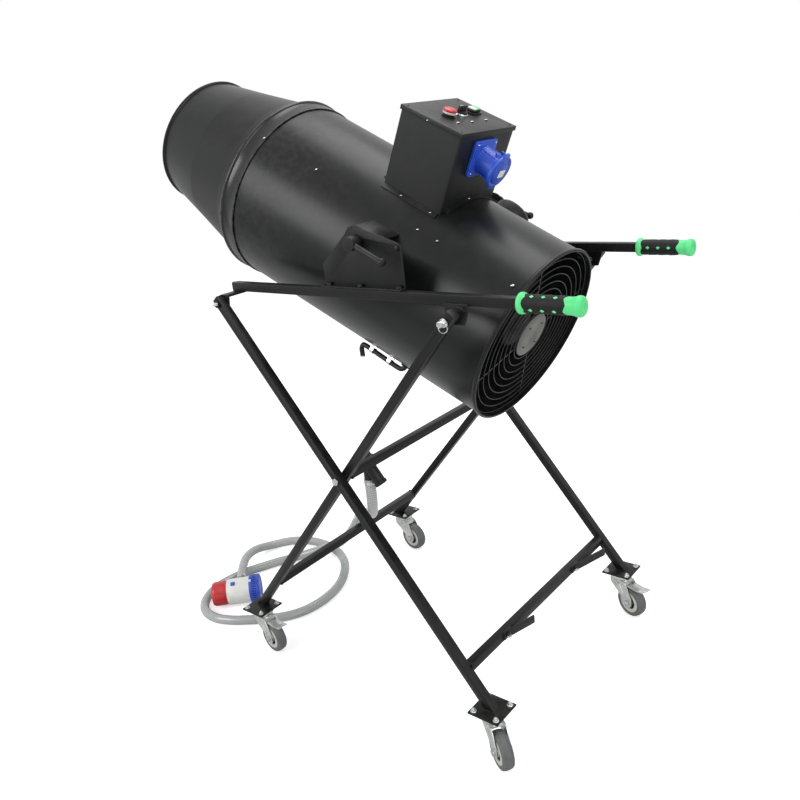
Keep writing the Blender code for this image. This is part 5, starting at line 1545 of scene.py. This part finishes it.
def makePump():
    # a submersible pump on its side: ribbed motor cap, body with an outlet tail, slotted strainer whose slots
    # are black marks on the solid shell, painted shade for the openings
    start, along = pumpAxis()
    turn = Matrix.Translation(start) @ turnTo(along, (1, 0, 0))

    def toPump(bm):
        return moved(bm, turn)

    cap = [(0, 0), (0, 0.020), (0.0016, 0.0215), (0.0016, 0.0250), (0, 0.0265), (0, 0.0300), (0.0016, 0.0330)]
    cap += [(0.0050, 0.0350), (0.010, 0.0355), (0.0385, 0.0358), (0.0390, 0.0350), (0.0405, 0.0350)]
    cap += [(0.0410, 0.0360), (0.0450, 0.0360), (0.0450, 0)]
    shapes = [lathe(cap, 72)]
    for i in range(8):
        rib = roundBlock((0.006, -0.0012, 0.0345), (0.0384, 0.0012, 0.0364), 0.0006, 1)
        shapes.append(placed(rib, turn=turned(45 * i + 12)))
    motor = piece("pump_motor_cap_moulded", toPump(gathered(*shapes)), "redShell", "inner_frame",
                  ("pump_motor_cap",))
    body = [(0.0453, 0), (0.0453, 0.0355), (0.0470, 0.0378), (0.0500, 0.0386), (0.100, 0.0392)]
    body += [(0.1045, 0.0392), (0.1050, 0.0386), (0.1062, 0.0386), (0.1067, 0.0395), (0.1140, 0.0395)]
    body += [(0.1140, 0)]
    outlet = [(0.030, 0), (0.030, 0.0165), (0.0415, 0.0160), (0.0425, 0.0128), (0.0560, 0.0124)]
    outlet += [(0.0585, 0.0118), (0.0585, 0.0098), (0.046, 0.0098), (0.046, 0)]
    outlet = placed(lathe(outlet, 32), (pumpLook["outletAlong"], 0, 0), turn=xToY)
    shell = piece("pump_body_moulded", toPump(gathered(lathe(body, 72), outlet)), "whiteShell",
                  "inner_frame", ("pump_body",))
    strainer = [(0.1143, 0), (0.1143, 0.0405), (0.1160, 0.0424), (0.1185, 0.0430), (0.1225, 0.0430)]
    strainer += [(0.1230, 0.0422), (0.1370, 0.0422), (0.1375, 0.0430), (0.1405, 0.0430), (0.1435, 0.0420)]
    strainer += [(0.1450, 0.0398), (0.1450, 0.0340), (0.1440, 0.0330), (0.1440, 0)]
    foot = piece("pump_strainer_moulded", toPump(lathe(strainer, 72)), "blueShell", "inner_frame",
                 ("pump_strainer",))
    # black blocks flush with the solid strainer: painted shade where the slot openings would be dark
    slot = roundBlock((-0.0055, -0.0011, -0.0010), (0.0055, 0.0011, 0.0007), 0.0003, 1)
    shapes = []
    for i in range(pumpLook["slots"]):
        out = outward(math.radians(360 / pumpLook["slots"] * i))
        turnOut = Matrix.Rotation(math.atan2(-out.y, out.z), 4, "X")
        spot = Vector((pumpLook["slotsAt"], 0, 0)) + out * pumpLook["slotsOut"]
        shapes.append(placed(slot.copy(), spot, turn=turnOut))
    slot.free()
    slots = piece("pump_strainer_slots", toPump(gathered(*shapes)), "gripRubber", "inner_frame")
    window = roundBlock((0.060, -0.0065, 0.0384), (0.0735, 0.0065, 0.0397), 0.0010, 2)
    window = placed(window, turn=turned(pumpLook["coverTurn"]))
    patch = piece("pump_switch_cover", toPump(window), "blueShell", "inner_frame")
    notch = roundBlock((0.1150, -0.0040, 0.0424), (0.1220, 0.0040, 0.0437), 0.0008, 2)
    notch = placed(notch, turn=turned(pumpLook["coverTurn"]))
    clip = piece("pump_strainer_clip", toPump(notch), "whiteShell", "inner_frame")
    return [motor, shell, foot, slots, patch, clip]


def bandClamp(at, facing):
    # a worm-drive clamp round the hose, about Z
    radius = hoseLook["radius"]
    band = lathe([(-0.0045, radius + 0.0001), (-0.0045, radius + 0.0009), (0.0045, radius + 0.0009),
                  (0.0045, radius + 0.0001)], 40, True)
    band = placed(band, turn=xToZ)
    housing = roundBlock((radius + 0.0006, -0.0065, -0.0050), (radius + 0.0072, 0.0065, 0.0050), 0.0014, 2)
    screw = [(-0.0100, 0), (-0.0100, 0.0034), (-0.0060, 0.0034), (-0.0060, 0.0022), (0.0085, 0.0022)]
    screw += [(0.0085, 0)]
    screw = placed(lathe(screw, 16), (radius + 0.0042, 0, 0), turn=xToY)
    return placed(gathered(band, housing, screw), at, facing)


coupling = {"low": (0.0715, -0.200, 0.5325), "length": 0.085, "radius": 0.0145}


def makeCoupling():
    softened("hose_coupling", "blackShell", "inner_frame", 0.0008, 2, 34)
    up = Vector((-math.sin(stand["outerLean"]), 0, math.cos(stand["outerLean"])))
    low = Vector(coupling["low"])
    shapes = []
    radius = coupling["radius"]
    for start, stop, wide in ((0.0695, 0.0850, 0.0190), (0.0660, 0.0698, 0.0165), (0.001, 0.0085, 0.0162)):
        ring = [(start, radius - 0.0008), (start, wide - 0.0010), (start + 0.0010, wide)]
        ring += [(stop - 0.0010, wide), (stop, wide - 0.0010), (stop, radius - 0.0008)]
        shapes.append(placed(lathe(ring, 40, True), low, turn=turnTo(up, (1, 0, 0))))
    for i in range(12):
        lug = roundBlock((0.0715, -0.0014, 0.0184), (0.0830, 0.0014, 0.0200), 0.0005, 1)
        shapes.append(placed(lug, low, turn=turnTo(up, (1, 0, 0)) @ turned(30 * i)))
    piece("hose_coupling_rings", gathered(*shapes), "blackShell", "inner_frame")
    # a thin black disc across the open bore: painted shade for the dark inside of the coupling
    bore = lathe([(0.0845, 0), (0.0845, 0.0128), (0.0853, 0.0128), (0.0853, 0)], 32)
    piece("hose_coupling_plug", placed(bore, low, turn=turnTo(up, (1, 0, 0))), "gripRubber", "inner_frame")
    x, y, top = hoseLook["stub"]
    piece("coupling_hose_clamp", bandClamp((x, y, top - 0.009), (0, 0, -1)), "bareSteel", "inner_frame")
    facing = outletPoint(1) - outletPoint(0)
    piece("pump_hose_clamp", bandClamp(outletPoint(0.067), facing), "bareSteel", "inner_frame")


makeStand()
for end in ends:
    for name in sides:
        makeCaster(end, name)
makeGrips()
pumpPieces = makePump()
makeCoupling()
print("stand, casters, grips, pump and coupling made")
